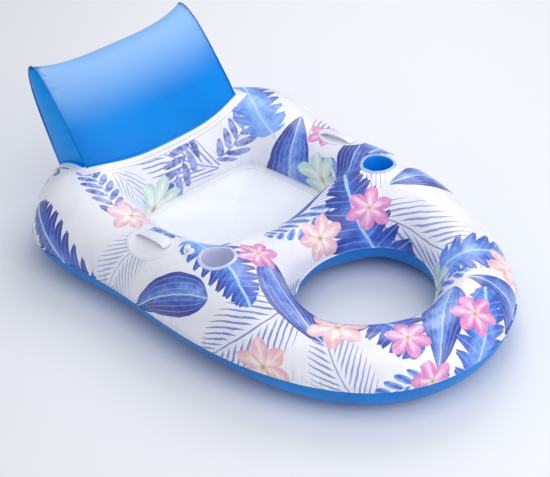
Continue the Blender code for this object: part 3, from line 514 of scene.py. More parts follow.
def strewn_motifs(spots):
    """Each kind's motifs: place, turn in degrees, half length, half width and tint. The film that the pillow
    hides gets none, and two of a kind don't overlap.
    """
    rng = np.random.default_rng(MOTIF_SEED)
    laid = {kind: [] for kind in MOTIFS}
    for kind, (count, lengths, width_shares, room) in MOTIFS.items():
        while len(laid[kind]) < count:
            x, y = spots[rng.integers(len(spots))] + rng.normal(0, MOTIF_WANDER, 2)
            if abs(x) < HIDDEN_HALF_WIDTH and HIDDEN_FRONT < y < HIDDEN_REAR:
                continue
            length = rng.uniform(*lengths)
            width = length * rng.uniform(*width_shares)
            turn = rng.uniform(-180, 180)
            tint = rng.uniform(0.02, 0.4)
            if kind == "blossoms":
                tint = rng.choice(BLOSSOM_TINTS)
            motif = (round(x, 3), round(y, 3), int(turn), round(length, 3), round(width, 3), round(tint, 2))
            if all(clearance(motif, other) >= (1.0 if its_kind == kind else room)
                   for its_kind, others in laid.items() for other in others):
                laid[kind].append(motif)
    return laid


def spread(f, place, motifs, swell=1.0):
    """A point's place in the motif that covers it: x along it, y across it, and its tint."""
    held = f.node("ShaderNodeCombineXYZ", {}, [FAR_OFF, FAR_OFF, 0.0])
    for x, y, turn, length, width, tint in motifs:
        sockets = [place, (x, y, -tint), (0.0, 0.0, math.radians(turn)), (length * swell, width * swell, 1.0)]
        own = f.node("ShaderNodeMapping", {"vector_type": "TEXTURE"}, sockets)
        inside = f.node("ShaderNodeVectorMath", {"operation": "LENGTH"}, [own], 1) < MOTIF_MARGIN_SHARE
        held = f.node("ShaderNodeMix", {"data_type": "VECTOR"}, {0: inside, 4: held, 5: own}, 1)
    parts = f.node("ShaderNodeSeparateXYZ", {}, [held])
    return parts, parts.also("Y"), parts.also("Z")


def leaflets(f, x, y, reach_share, per_length, slant):
    """A sprig's leaflets: distance from the stem, its share of the leaflet and the gap to its middle."""
    out = abs(y)
    reach = f.node("ShaderNodeMath", {"operation": "SQRT", "use_clamp": True}, [1.0 - x * x * 0.98])
    reach = reach * reach_share
    cell = abs((x * per_length - out * slant + (y > 0.0) * 0.5) % 1.0 - 0.5)
    return out, out / (reach + 0.01), cell


def slim_sprigs(f, motifs, place, wash, picture):
    x, y, tint = spread(f, place, motifs)
    out, along, cell = leaflets(f, x, y + x * x * 0.22 - 0.1, 0.92, 7.0, 5.2)
    blade = f.above_zero(1.0 - along) ** 0.45 * f.rise(along, 0.02, 0.3) * 0.27
    mask = f.larger(f.rise(blade - cell, 0.0, 0.05), 1.0 - f.rise(out, 0.012, 0.03)) * (abs(x) < 1.0)
    tone = f.colour(f.rise(tint + wash * 0.5, 0.25, 0.6), srgb("6F83CC"), srgb("A7AEDD"))
    return f.colour(mask * f.rise(wash, 0.1, 0.5) * 0.95, picture, tone)


def round_sprigs(f, motifs, place, wash, picture):
    x, y, tint = spread(f, place, motifs)
    out, along, cell = leaflets(f, x, y - x * x * 0.25 + 0.12, 0.85, 3.5, 1.4)
    blade = f.above_zero(along * (1.0 - along) * 4.0) ** 0.5 * 0.42
    mask = f.larger(f.rise(blade - cell, 0.0, 0.05), 1.0 - f.rise(out, 0.02, 0.04)) * (abs(x) < 1.0)
    tone = f.colour(f.rise(cell + wash * 0.5, 0.2, 0.6), srgb("3F62C4"), srgb("8FB4F0"))
    violet = f.colour(f.rise(wash, 0.35, 0.6), srgb("5A5CA8"), srgb("9FB0E8"))
    return f.colour(mask, picture, f.colour(f.rise(tint, 0.18, 0.24), tone, violet))


def arched_leaves(f, motifs, place, wash, picture):
    """Leaves whose veins arch from foot to tip."""
    x, y, tint = spread(f, place, motifs)
    y = y - x * x * 0.2 + 0.08
    up = x * 0.5 + 0.5
    width = f.above_zero(up) ** 0.6 * f.above_zero(1.0 - up) ** 1.05 * 2.35
    edge = abs(y) / (width + 0.001)
    vein = abs((edge * 4.0 + 0.5) % 1.0 - 0.5)
    shade = f.rise(wash * 0.9 + edge * 0.5 + (y > 0.0) * 0.2 + up * 0.3 - 0.5 + tint, 0.0, 0.9)
    tone = f.ramp(shade, (0.0, "9CC4F6"), (0.35, "7296E2"), (0.7, "4B6BC8"), (1.0, "3A489E"))
    tone = f.colour((1.0 - f.rise(vein, 0.02, 0.12)) * 0.55, tone, srgb("A9C3F4"))
    tone = f.colour(1.0 - f.rise(abs(y), 0.012, 0.035), tone, srgb("C4D6F8"))
    return f.colour(f.rise(width - abs(y), 0.0, 0.03), picture, tone)


def torn_leaves(f, motifs, place, wash, picture):
    """Paddle leaves, torn along their side veins."""
    x, y, tint = spread(f, place, motifs)
    y = y + x * x * 0.18 - 0.08
    out = abs(y)
    up = x * 0.5 + 0.5
    width = f.above_zero(up) ** 0.35 * f.above_zero(1.0 - up) ** 0.5 * 1.45
    rib = (x * 4.5 - out * 1.5 + (y > 0.0) * 0.37) % 1.0
    tear = f.rise(out - width * 0.42, 0.0, 0.5) * 0.42
    gap = f.rise(tear - abs(rib - 0.5), -0.02, 0.02)
    fringe = width - abs(rib - 0.5) * 0.16
    fine = abs((rib * 6.0) % 1.0 - 0.5)
    shade = f.rise(wash + out * 0.75 + up * 0.4 + tint - 0.62 + fine * 0.12, 0.0, 1.0)
    tone = f.ramp(shade, (0.0, "92BEF7"), (0.3, "5E90E8"), (0.62, "3C66CC"), (1.0, "333C94"))
    tone = f.colour((1.0 - f.rise(abs(rib), 0.03, 0.1)) * 0.5, tone, srgb("A6CBF8"))
    tone = f.colour(1.0 - f.rise(out, 0.015, 0.05), tone, srgb("B7D6FA"))
    return f.colour(f.rise(fringe - out, 0.0, 0.03) * (1.0 - gap), picture, tone)


def blossoms(f, motifs, place, wash, picture):
    """Blossoms of six petals, in three tints."""
    x, y, tint = spread(f, place, motifs, BLOSSOM_SWELL)
    radius = f.node("ShaderNodeMath", {"operation": "SQRT"}, [x * x + y * y])
    turn = f.node("ShaderNodeMath", {"operation": "ARCTAN2"}, [y, x]) * (6 / (2 * math.pi))
    petal = f.above_zero(1.0 - abs(turn % 1.0 - 0.5) * 2.0)
    edge = petal ** 0.45 * 0.52 + 0.46 + (wash - 0.5) * 0.12
    streak = f.noise(f.node("ShaderNodeCombineXYZ", {}, [turn * 2.0, radius * 1.2, tint * 40.0]), 2.6, 2.0)
    deep = f.rise(streak * 0.7 + radius * 0.5 + (1.0 - petal) * 0.35, 0.35, 1.0)
    pink = f.ramp(deep, (0.0, "F9E2F1"), (0.5, "F0B9DD"), (1.0, "DB7DBB"))
    peach = f.ramp(deep, (0.0, "FFF5F1"), (0.5, "FADFDC"), (1.0, "EDB4C4"))
    green = f.ramp(deep, (0.0, "FAFDF5"), (0.5, "EAF6E8"), (1.0, "BFE0D8"))
    tone = f.colour(f.rise(tint, 0.14, 0.16), pink, peach)
    tone = f.colour(f.rise(tint, 0.24, 0.26), tone, green)
    tone = f.colour((1.0 - f.rise(radius, 0.06, 0.2)) * 0.8, tone, srgb("E8C98A"))
    tone = f.colour((1.0 - f.rise(radius, 0.03, 0.1)) * 0.7, tone, srgb("C08078"))
    return f.colour(f.rise(edge - radius, 0.0, 0.05), picture, tone)


def printed_film(motifs):
    """White film with the print in washes of colour, on edges that wander as a wet brush does."""
    f = Finish("printed_film")
    flat = f.node("ShaderNodeUVMap", {"uv_map": "flat_cut"})
    wander = f.vector("SUBTRACT", f.noise(flat, 16.0, 2.0).also("Color"), (0.5, 0.5, 0.5))
    place = f.vector("ADD", flat, f.vector("MULTIPLY", wander, (0.012, 0.012, 0.0)))
    wash = f.noise(flat, 42.0, 5.0, 0.6)
    picture = f.colour(f.rise(f.noise(flat, 9.0), 0.42, 0.75), srgb("F4F4FA"), srgb("E9E8F6"))
    for draw in (slim_sprigs, round_sprigs, arched_leaves, torn_leaves, blossoms):
        picture = draw(f, motifs[draw.__name__], place, wash, picture)
    # Painted shade: the print is turned towards a darker lavender-blue along the puckers' creases.
    picture = f.creased(picture, 0.55, "6F7FB4")
    normal = f.bumps(f.noise(f.place, 30.0), 0.0012, 0.5)
    fine = f.noise(f.vector("MULTIPLY", f.place, (1.0, 1.0, 3.0)), 120.0, 2.0)
    normal = f.bumps(fine, 0.0003, 0.35, normal)
    return f.film(base_color=picture, roughness=0.24 + f.noise(f.place, 60.0) * 0.1, normal=normal,
                  specular_ior_level=0.5, coat_weight=0.25, coat_roughness=0.12)


def dyed_film(name, low, high, roughness=0.2, coat=0.3, specular=0.5):
    """Solid-dyed film: a slight unevenness of the dye, shallow waves and fine creases."""
    f = Finish(name)
    colour = f.colour(f.rise(f.noise(f.place, 7.0), 0.3, 0.7), srgb(low), srgb(high))
    normal = f.bumps(f.noise(f.place, 26.0), 0.001, 0.4)
    normal = f.bumps(f.noise(f.place, 140.0, 2.0), 0.0002, 0.3, normal)
    return f.film(base_color=colour, roughness=roughness + f.noise(f.place, 70.0) * 0.08, normal=normal,
                  specular_ior_level=specular, coat_weight=coat, coat_roughness=0.1)


TOP_ROWS = 22
BOTTOM_ROWS = 14
SPOT_STEP = 8
top_halves = list(film_halves(True, TOP_ROWS))
ring_top = ring_skin("ring_top_film", top_halves, True)
ring_bottom = ring_skin("ring_bottom_film", film_halves(False, BOTTOM_ROWS), False)


def surface(*items):
    """A lookup of the film's outer face, over one or more pieces."""
    points, faces = [], []
    for item in items:
        start = len(points)
        points.extend(v.co.copy() for v in item.data.vertices)
        faces.extend([start + i for i in p.vertices] for p in item.data.polygons)
    return BVHTree.FromPolygons(points, faces)


ring_film = surface(ring_top)


def height_on(x, y):
    return ring_film.ray_cast(Vector((x, y, 1.0)), Vector((0, 0, -1)))[0].z


CAST_REACH = 0.05
VALVE_DEPTH = 0.012
VALVE_HOLE = 0.0090
CUP_RADIUS = 0.0415
CUP_OUTSET = 0.0655
CUP_FORWARD = 0.102
CUP_X = SEAT_HALF_WIDTH + CUP_OUTSET
CUP_Y = SEAT_CENTRE_Y - SEAT_HALF_LENGTH - CUP_FORWARD


def open_hole(item, film, stand, radius):
    """Faces inside a circle are cut away, and the edge left over is drawn to the circle."""
    shape = bmesh.new()
    shape.from_mesh(item.data)
    inward = stand.inverted()
    cut = []
    for face in shape.faces:
        middle = inward @ face.calc_center_median()
        if middle.xy.length < radius and abs(middle.z) < CAST_REACH:
            cut.append(face)
    near = {v for face in cut for v in face.verts}
    bmesh.ops.delete(shape, geom=cut, context="FACES")
    for vert in (v for v in near if v.is_valid):
        aim = (inward @ vert.co).xy.normalized() * radius
        vert.co = film.ray_cast(stand @ Vector((*aim, CAST_REACH)), -stand.col[2].to_3d())[0]
    shape.to_mesh(item.data)
    shape.free()


def valve_place(word, aside, film):
    """Where a valve stands: Z out of the film, X to the side on which its strap lies, origin on the film."""
    out = Vector(next(j["axis"] for j in frame["joints"] if j["name"] == word + "_valve_push")).normalized()
    points = [v.co for v in frame["nodes"][word + "_valve_stem"].data.vertices]
    centre = sum(points, Vector()) / len(points)
    low = min(point.dot(out) for point in points)
    y = out.cross(Vector(aside)).normalized()
    stand = Matrix((y.cross(out), y, out)).transposed().to_4x4()
    stand.translation = centre + out * (low + VALVE_DEPTH - centre.dot(out))
    stand.translation += out * (CAST_REACH - film.ray_cast(stand @ Vector((0, 0, CAST_REACH)), -out)[3])
    return stand


for side in (-1, 1):
    mouth = Matrix.Translation((side * CUP_X, CUP_Y, height_on(side * CUP_X, CUP_Y)))
    open_hole(ring_top, ring_film, mouth, CUP_RADIUS)
main_valve = valve_place("main", (-1, 0, 0), ring_film)
open_hole(ring_top, ring_film, main_valve, VALVE_HOLE)
spots = np.concatenate([flat[2:, ::SPOT_STEP].reshape(-1, 2) for _, flat, _ in top_halves])
dress(ring_top, "ring", "ring_top_skin", "white_print", printed_film(strewn_motifs(spots)))
ring_blue = dyed_film("ring_blue", "0074C8", "0086DA", 0.35, 0.06, 0.25)
dress(ring_bottom, "ring", "ring_bottom_skin", "blue_film", ring_blue)


# Seat
# A wide sheet of white vinyl closes the opening underneath, welded into a border strip that runs round it.
# It hangs in a shallow bowl, and the pull of the weld draws short creases in from its edge.
SEAT_BORDER_WIDTH = 0.022
SEAT_BORDER_THICKNESS = 0.0008
SEAT_BORDER_EDGE = 0.0006
SEAT_BORDER_LOW = SEAM_HEIGHT + 0.0009
SEAT_BORDER_WAVE = 0.0005
SEAT_SHEET_THICKNESS = 0.0005
SEAT_SHEET_TOP = SEAT_BORDER_LOW - 0.0003
SEAT_OVERLAP = 0.013
SEAT_SAG = 0.018
SEAT_RIPPLE = 0.0006
SEAT_RIPPLES_INWARD = 7
SEAT_RIPPLES_ROUND = 9
SEAT_CREASE_PITCH = 0.016
SEAT_CREASE_DEPTH = 0.0016
SEAT_TURNS = 720
SEAT_LOOPS = 34
SEAT_LOOP_CROWDING = 1.4


def closed_loop(name, points, flat, depth=None):
    """A sheet whose columns run all the way round: the grid's two ends and its middle are welded shut."""
    item = grid_sheet(name, points, flat)
    if depth is not None:
        mark_creases(item, depth)
    weld_up(item, reach=0.00001)
    return item


def thicken(item, thickness, offset):
    """A wall thickness for a film: offset says to which side of its mesh it grows."""
    film = item.modifiers.new("film", "SOLIDIFY")
    film.thickness = thickness
    film.offset = offset


def face_up(item):
    if sum(p.normal.z * p.area for p in item.data.polygons) < 0:
        item.data.flip_normals()
    return item


seat_share = np.linspace(0, 1, SEAT_TURNS + 1)
seat_run = np.mod(seat_share, 1.0) * SEAT.length
seat_creases = Puckers(SEAT.length, SEAT_CREASE_PITCH, SEAT_CREASE_DEPTH, seed=21)
seat_edge = SEAT.at(seat_share, SEAT_BORDER_WIDTH)
seat_centre = np.array([0.0, SEAT_CENTRE_Y])
# Each loop of the border: how far in from the seam, and its height as a share of the thickness
border_loops = [(SEAT_BORDER_EDGE, 0.0), (SEAT_BORDER_WIDTH, 0.0),
                (SEAT_BORDER_WIDTH + SEAT_BORDER_EDGE, 0.5), (SEAT_BORDER_WIDTH, 1.0),
                (SEAT_BORDER_WIDTH - 0.002, 1.3), (SEAT_BORDER_WIDTH - 0.004, 1.0), (0.012, 1.0),
                (SEAT_BORDER_EDGE, 1.0), (0.0, 0.5), (SEAT_BORDER_EDGE, 0.0)]
points = []
for inset, share in border_loops:
    plan = SEAT.at(seat_share, inset)
    ripple = seat_creases.wave(seat_run) * SEAT_BORDER_WAVE * inset / SEAT_BORDER_WIDTH
    points.append(np.column_stack([plan, SEAT_BORDER_LOW + SEAT_BORDER_THICKNESS * share + ripple]))
points = np.array(points)
seat_border = face_up(closed_loop("seat_border_film", points, points[..., :2]))

rim = SEAT.at(seat_share, SEAT_BORDER_WIDTH - SEAT_OVERLAP)
points = [np.column_stack([rim, np.full(len(rim), SEAT_SHEET_TOP)])]
flat = [rim]
for share in (1.0, *(1 - np.linspace(0, 1, SEAT_LOOPS)[1:] ** SEAT_LOOP_CROWDING)):
    plan = seat_centre + (seat_edge - seat_centre) * share
    away = np.linalg.norm(seat_edge - plan, axis=1)
    drop = SEAT_SAG * (1 - share ** 2) + seat_creases.sink(seat_run[None], away[None])[0]
    inward = np.sin(SEAT_RIPPLES_INWARD * np.pi * share)
    drop += SEAT_RIPPLE * inward * np.sin(SEAT_RIPPLES_ROUND * np.pi * seat_share) ** 2 * (1 - share)
    points.append(np.column_stack([plan, SEAT_SHEET_TOP - drop]))
    flat.append(plan)
seat_sheet = face_up(closed_loop("seat_sheet_film", np.array(points), np.array(flat)))
thicken(seat_sheet, SEAT_SHEET_THICKNESS, -1)
seat_white = dyed_film("seat_white", "E9ECF3", "F1F3F8", 0.42, 0.1)
dress(seat_border, "ring", "seat_border", "white_film", seat_white)
dress(seat_sheet, "ring", "seat_sheet", "seat_white", seat_white)
float(np.ptp(rim[:, 0]))
float(np.ptp(rim[:, 1]))


# Cup holders
# Two wells are pressed from thin film and welded into round holes of the ring, lilac on the sitter's right
# and blue on the left. A soft rim lies over the weld, and a flat disc closes each well below.
CUP_FLOOR_RADIUS = 0.038
CUP_DEPTH = 0.076
CUP_RIM_WIDTH = 0.008
CUP_RIM_INSET = 0.0007
CUP_WALL_INSET = 0.0003
CUP_TURNS = 96
CUP_STEPS = 13
CUP_WOBBLE = 0.0005
CUP_WOBBLES_ROUND = 7


def turned(name, profile, turns, centre=(0.0, 0.0)):
    """A circle drawn out into loops: each (radius, height) of the profile is one extrusion of the last."""
    radius, height = profile[0]
    pivot = (centre[0], centre[1], 0.0)
    bpy.ops.mesh.primitive_circle_add(vertices=turns, radius=radius, location=(*centre, height))
    item = bpy.context.object
    bpy.ops.object.transform_apply(location=True, rotation=False, scale=False)
    item.name = name
    item.data.name = name
    bpy.ops.object.mode_set(mode="EDIT")
    bpy.ops.mesh.select_all(action="SELECT")
    for (last, low), (radius, height) in zip(profile, profile[1:]):
        bpy.ops.mesh.extrude_edges_move(TRANSFORM_OT_translate={"value": (0, 0, height - low)})
        bpy.ops.transform.resize(value=(radius / last, radius / last, 1), center_override=pivot)
    weld_up(item, reach=0.000005)
    return item


def lay_on_film(item):
    """Heights that were set off a flat plane are set off the ring's film instead."""
    for vert in item.data.vertices:
        vert.co.z += height_on(vert.co.x, vert.co.y)
    item.data.update()


POLE = 0.00001
cup_finishes = {"cup_lilac": dyed_film("cup_lilac", "D2D6F0", "DCE0F6", 0.3),
                "cup_blue": dyed_film("cup_blue", "0A98EE", "14A2F4", 0.3, 0.1)}
rim_finishes = {"cup_lilac": dyed_film("rim_lilac", "C9CEEA", "D6DAF2", 0.3),
                "cup_blue": dyed_film("rim_blue", "9DBBEA", "B4CBF0", 0.3)}
for word, side, slot in (("right", -1, "cup_lilac"), ("left", 1, "cup_blue")):
    x, y = side * CUP_X, CUP_Y
    top = height_on(x, y)
    inner = CUP_RADIUS - CUP_RIM_INSET
    outer = CUP_RADIUS + CUP_RIM_WIDTH
    rim_profile = [(inner, 0.0002), (inner - 0.0004, 0.0011), (inner + 0.0006, 0.0019),
                   (inner + 0.0022, 0.0021), (inner + 0.0042, 0.0014), (outer - 0.001, 0.0011),
                   (outer, 0.0006), (outer, 0.0002), (inner, 0.0002)]
    cup_rim = turned("cup_rim_film_" + word, rim_profile, CUP_TURNS, (x, y))
    lay_on_film(cup_rim)
    mouth = CUP_RADIUS - CUP_WALL_INSET
    wall_profile = [(mouth + (CUP_FLOOR_RADIUS - CUP_RADIUS) * share, -CUP_DEPTH * share)
                    for share in np.linspace(0, 1, CUP_STEPS)]
    cup_wall = turned("cup_well_film_" + word, wall_profile, CUP_TURNS, (x, y))
    for vert in cup_wall.data.vertices:
        share = -vert.co.z / CUP_DEPTH
        angle = math.atan2(vert.co.y - y, vert.co.x - x)
        wobble = CUP_WOBBLE * math.sin(CUP_WOBBLES_ROUND * angle + 2 * side) * math.sin(math.pi * share)
        vert.co.x += wobble * math.cos(angle)
        vert.co.y += wobble * math.sin(angle)
        vert.co.z = (1 - share) * height_on(vert.co.x, vert.co.y) + share * (top - CUP_DEPTH)
    thicken(cup_wall, FILM, 0)
    floor_z = top - CUP_DEPTH - FILM
    disc = [(POLE, 0.0), (0.012, 0.0002), (0.026, 0.0), (0.034, -0.0002), (CUP_FLOOR_RADIUS - 0.001, 0.0),
            (CUP_FLOOR_RADIUS, -0.0003), (CUP_FLOOR_RADIUS - 0.001, -0.0006), (0.026, -0.0006),
            (POLE, -0.0006)]
    floor_profile = [(radius, floor_z + height) for radius, height in disc]
    cup_floor = turned("cup_floor_film_" + word, floor_profile, CUP_TURNS, (x, y))
    dress(cup_rim, "ring", "cup_rim_" + word, slot, rim_finishes[slot])
    dress(cup_wall, "ring", "cup_wall_" + word, slot, cup_finishes[slot])
    dress(cup_floor, "ring", "cup_floor_" + word, slot, cup_finishes[slot])


# Grips
# On each side of the seat an oval pad of clear whitish vinyl is welded to the ring, and a wide strap of the
# same film rises over it in a low arch, so that a hand can slip under.
HANDLE_X = SEAT_HALF_WIDTH + SIDE_TUBE_WIDTH / 2
HANDLE_FORWARD = 0.076
HANDLE_Y = SEAT_CENTRE_Y - HANDLE_FORWARD
PAD_HALF_LENGTH = 0.077
PAD_HALF_WIDTH = 0.047
PAD_TOP = 0.0015
PAD_WELD_TOP = 0.0019
GRIP_INBOARD = 0.013
GRIP_LENGTH = 0.122
GRIP_WIDTH = 0.026
GRIP_WALL = 0.0024
GRIP_LOW = 0.0027
GRIP_RISE = 0.012
GRIP_CROWN = 0.0006
GRIP_FOOT = 0.010
GRIP_CORNER_SHARE = 0.22
GRIP_EDGE = 0.0007
GRIP_COLUMNS = 60
clear_white = dyed_film("clear_white", "EDEDF6", "F6F6FB", 0.26)
for word, side in (("right", -1), ("left", 1)):
    x, y = side * HANDLE_X, HANDLE_Y
    edge = PAD_HALF_WIDTH
    pad_profile = [(POLE, PAD_TOP), (0.010, PAD_TOP), (0.020, PAD_TOP), (0.028, PAD_TOP), (0.034, PAD_TOP),
                   (edge - 0.0075, PAD_TOP), (edge - 0.0062, PAD_WELD_TOP), (edge - 0.0048, PAD_WELD_TOP),
                   (edge - 0.0035, PAD_TOP), (edge - 0.0010, 0.0014), (edge, 0.0008), (edge, 0.0003),
                   (0.030, 0.0003), (POLE, 0.0003)]
    pad = turned("grip_pad_film_" + word, pad_profile, CUP_TURNS, (x, y))
    for vert in pad.data.vertices:
        vert.co.y = y + (vert.co.y - y) * PAD_HALF_LENGTH / PAD_HALF_WIDTH
    lay_on_film(pad)
    length_shares = np.linspace(-0.5, 0.5, GRIP_COLUMNS + 1)
    width_shares = np.concatenate([[-0.5, -0.49, -0.46], np.linspace(-0.42, 0.42, 15), [0.46, 0.49, 0.5]])
    along, across = np.meshgrid(length_shares * GRIP_LENGTH, width_shares * GRIP_WIDTH)
    inside = np.clip(1 - (along / (GRIP_LENGTH / 2 - GRIP_FOOT)) ** 2, 0, 1)
    corner = np.clip((abs(along) - GRIP_LENGTH / 2 + GRIP_FOOT) / GRIP_FOOT, 0, 1)
    across = across * (1 - GRIP_CORNER_SHARE * corner ** 2)
    middle = x - side * GRIP_INBOARD
    base = np.vectorize(height_on)(middle + across, y + along)
    rise = GRIP_LOW + GRIP_RISE * np.sqrt(inside) + GRIP_CROWN * np.cos(np.pi * across / GRIP_WIDTH)
    points = np.stack([middle + across, y + along, base + rise], axis=-1)
    grip = face_up(grid_sheet("grip_strap_film_" + word, points, points[..., :2]))
    bpy.ops.object.shade_smooth()
    grip.select_set(False)
    thicken(grip, GRIP_WALL, 1)
    edge_round = grip.modifiers.new("edge", "BEVEL")
    edge_round.width = GRIP_EDGE
    edge_round.segments = 2
    edge_round.angle_limit = math.radians(60)
    dress(pad, "ring", "handle_pad_" + word, "clear_white", clear_white)
    dress(grip, "ring", "handle_grip_" + word, "clear_white", clear_white)


# Backrest pillow
# A cushion of solid blue vinyl is closed by a tongue-shaped gusset at each end and welded to the rear tube
# along its foot, inside a white band of film. Its top dips between two ears, and the film gathers into
# puckers wherever a weld turns a tight corner.
BACK_OUTSET = 0.048
BACK_BASE_HALF_WIDTH = SEAT_HALF_WIDTH + BACK_OUTSET
BACK_TAPER = 0.007
BACK_SETBACK = 0.0285
BACK_SPINE_Y = REAR_TUBE_Y + BACK_SETBACK
BACK_SPINE_BOW = 0.0256
REAR_TUBE_TOP = SEAM_HEIGHT + TOP_RISE_SHARE * REAR_TUBE_WIDTH / 2
BACK_SPINE_SINK = 0.0133
BACK_SPINE_HEIGHT = REAR_TUBE_TOP - BACK_SPINE_SINK
BACK_LEAN = 0.1357
BACK_LEAN_MIDDLE = 0.1261
BACK_RISE = 0.214
BACK_TOP_HEIGHT = REAR_TUBE_TOP + BACK_RISE
BACK_TOP_SAG = 0.0289
GUSSET_BASE_HALF_DEPTH = 0.0685
GUSSET_TOP_HALF_DEPTH = 0.045
GUSSET_SQUARENESS = 5.0
PILLOW_HALF_DEPTH = 0.0845
PILLOW_BASE_SHARE = 0.08
PILLOW_WIDEST_SHARE = 0.4
PILLOW_FULLNESS = 3.45
GUSSET_BULGE = 0.010
BACK_FLANGE = 0.0035


def spine(across):
    """Base and top of the leaning spine, at a share of the half width, and how full the pillow is there."""
    middle = 1 - abs(across) ** PILLOW_FULLNESS
    top_y = BACK_SPINE_Y + BACK_LEAN + (BACK_LEAN_MIDDLE - BACK_LEAN) * middle
    top_z = BACK_TOP_HEIGHT - BACK_TOP_SAG * middle
    return Vector((BACK_SPINE_Y - BACK_SPINE_BOW * middle, BACK_SPINE_HEIGHT)), Vector((top_y, top_z)), middle


def half_depth(up, middle):
    """Half the pillow's depth at a share of the spine: a tongue at its ends, full in the middle."""
    rise = min(max(up, 0.0), 1.0)
    tongue = GUSSET_BASE_HALF_DEPTH + (GUSSET_TOP_HALF_DEPTH - GUSSET_BASE_HALF_DEPTH) * rise
    tongue *= math.sqrt(1 - rise ** GUSSET_SQUARENESS)
    if up > PILLOW_WIDEST_SHARE:
        far = min((up - PILLOW_WIDEST_SHARE) / (1 - PILLOW_WIDEST_SHARE), 1.0)
        full = PILLOW_HALF_DEPTH * math.sqrt(1 - far ** 2)
    else:
        far = (PILLOW_WIDEST_SHARE - up) / PILLOW_WIDEST_SHARE
        full = PILLOW_HALF_DEPTH * (1 - PILLOW_BASE_SHARE * far ** 2)
    return tongue + (full - tongue) * middle


def pillow_point(across, up, face, inset=0.0):
    """A point of the pillow: face is -1 on the front and +1 on the rear."""
    base, top, middle = spine(across)
    along = top - base
    out = Vector((along.y, -along.x)).normalized() * face
    along *= 1 - inset / along.length
    place = base + along * up + out * max(half_depth(up, middle) - inset, 0.0)
    half_width = BACK_BASE_HALF_WIDTH - BACK_TAPER * min(max(up, 0), 1)
    return Vector((across * half_width, place.x, place.y))


def landing(across, face, lift):
    """Share of the spine at which a face of the pillow comes down to the ring."""
    low, high = -0.6, 0.6
    for _ in range(30):
        up = (low + high) / 2
        point = pillow_point(across, up, face)
        if point.z > height_on(point.x, point.y) + lift:
            high = up
        else:
            low = up
    return high


BACK_COLUMNS = 220
BACK_ROWS = 150
FOOT_FLANGE = 0.010
FOOT_LIFT = 0.0006
FLANGE_START = 0.0003
COVER_FOOT_LIFT = 0.0014
GUSSET_FOOT_LIFT = 0.0012
SIDE_WELD_START = 0.0002
SIDE_WELD_OUT = 0.8
SIDE_WELD_ASIDE = 0.6
GATHER_PITCH = 0.0072
GATHER_DEPTH = 0.0036
GATHER_WAVE = 0.0008
GATHER_WAVE_REACH = 0.006
DEEP_FOLD = 0.0012
TIGHT_REACH = 0.060
TIGHT_MOST = 1.25
SLACK_SHARE = 0.12
GUSSET_COLUMNS = 48


def on_ring(plan, lift):
    """Points of a plan laid on the ring's film, a little above it."""
    return np.array([[px, py, height_on(px, py) + lift] for px, py in plan])


back_share = np.sin(np.pi / 2 * np.linspace(-1, 1, BACK_COLUMNS + 1))
sections = []
for across in back_share:
    halves = []
    for face in (-1, 1):
        start = landing(across, face, FOOT_LIFT)
        ups = start + (1 - start) * np.sin(np.pi / 2 * np.linspace(0, 1, BACK_ROWS + 1))
        halves.append([pillow_point(across, up, face) for up in ups])
    sections.append(halves[0][:-1] + halves[1][::-1])
cover_points = np.array(sections).transpose(1, 0, 2)
front_edge, rear_edge = cover_points[0].copy(), cover_points[-1].copy()
run = np.concatenate([np.zeros((1, BACK_COLUMNS + 1)),
                      np.cumsum(np.linalg.norm(np.diff(cover_points, axis=0), axis=-1), axis=0)])
from_middle = np.broadcast_to(back_share * BACK_BASE_HALF_WIDTH, run.shape)
flat = np.stack([from_middle, run - run[BACK_ROWS]], axis=-1)
outward = np.cross(np.gradient(cover_points, axis=1), np.gradient(cover_points, axis=0))
outward /= np.maximum(np.linalg.norm(outward, axis=-1, keepdims=True), 1e-9)
hub = cover_points.mean(axis=(0, 1)) * (0, 1, 1) + cover_points * (1, 0, 0)
outward *= np.sign(((cover_points - hub) * outward).sum(axis=-1, keepdims=True))

# Where the weld turns over the tongue's tip the film gathers; down the straight sides it lies almost flat
tight = np.clip(TIGHT_MOST - abs(run - run[BACK_ROWS]) / TIGHT_REACH, 0, 1)
tight = SLACK_SHARE + (1 - SLACK_SHARE) * tight
away = (1 - abs(np.broadcast_to(back_share, run.shape))) * BACK_BASE_HALF_WIDTH
gathers = {-1: Puckers(float(run[-1, 0]), GATHER_PITCH, GATHER_DEPTH, seed=31),
           1: Puckers(float(run[-1, -1]), GATHER_PITCH, GATHER_DEPTH, seed=32)}
half = BACK_COLUMNS // 2
folds = np.zeros(run.shape)
for side, columns in ((-1, slice(0, half)), (1, slice(half + 1, None))):
    near, seam_run = away[:, columns], run[:, 0 if side < 0 else -1]
    dip = gathers[side].sink(run[:, columns].T, near.T).T
    dip -= gathers[side].wave(seam_run)[:, None] * GATHER_WAVE * np.clip(1 - near / GATHER_WAVE_REACH, 0, 1)
    cover_points[:, columns] -= outward[:, columns] * (dip * tight[:, columns])[..., None]
    folds[:, columns] = dip * tight[:, columns] / DEEP_FOLD

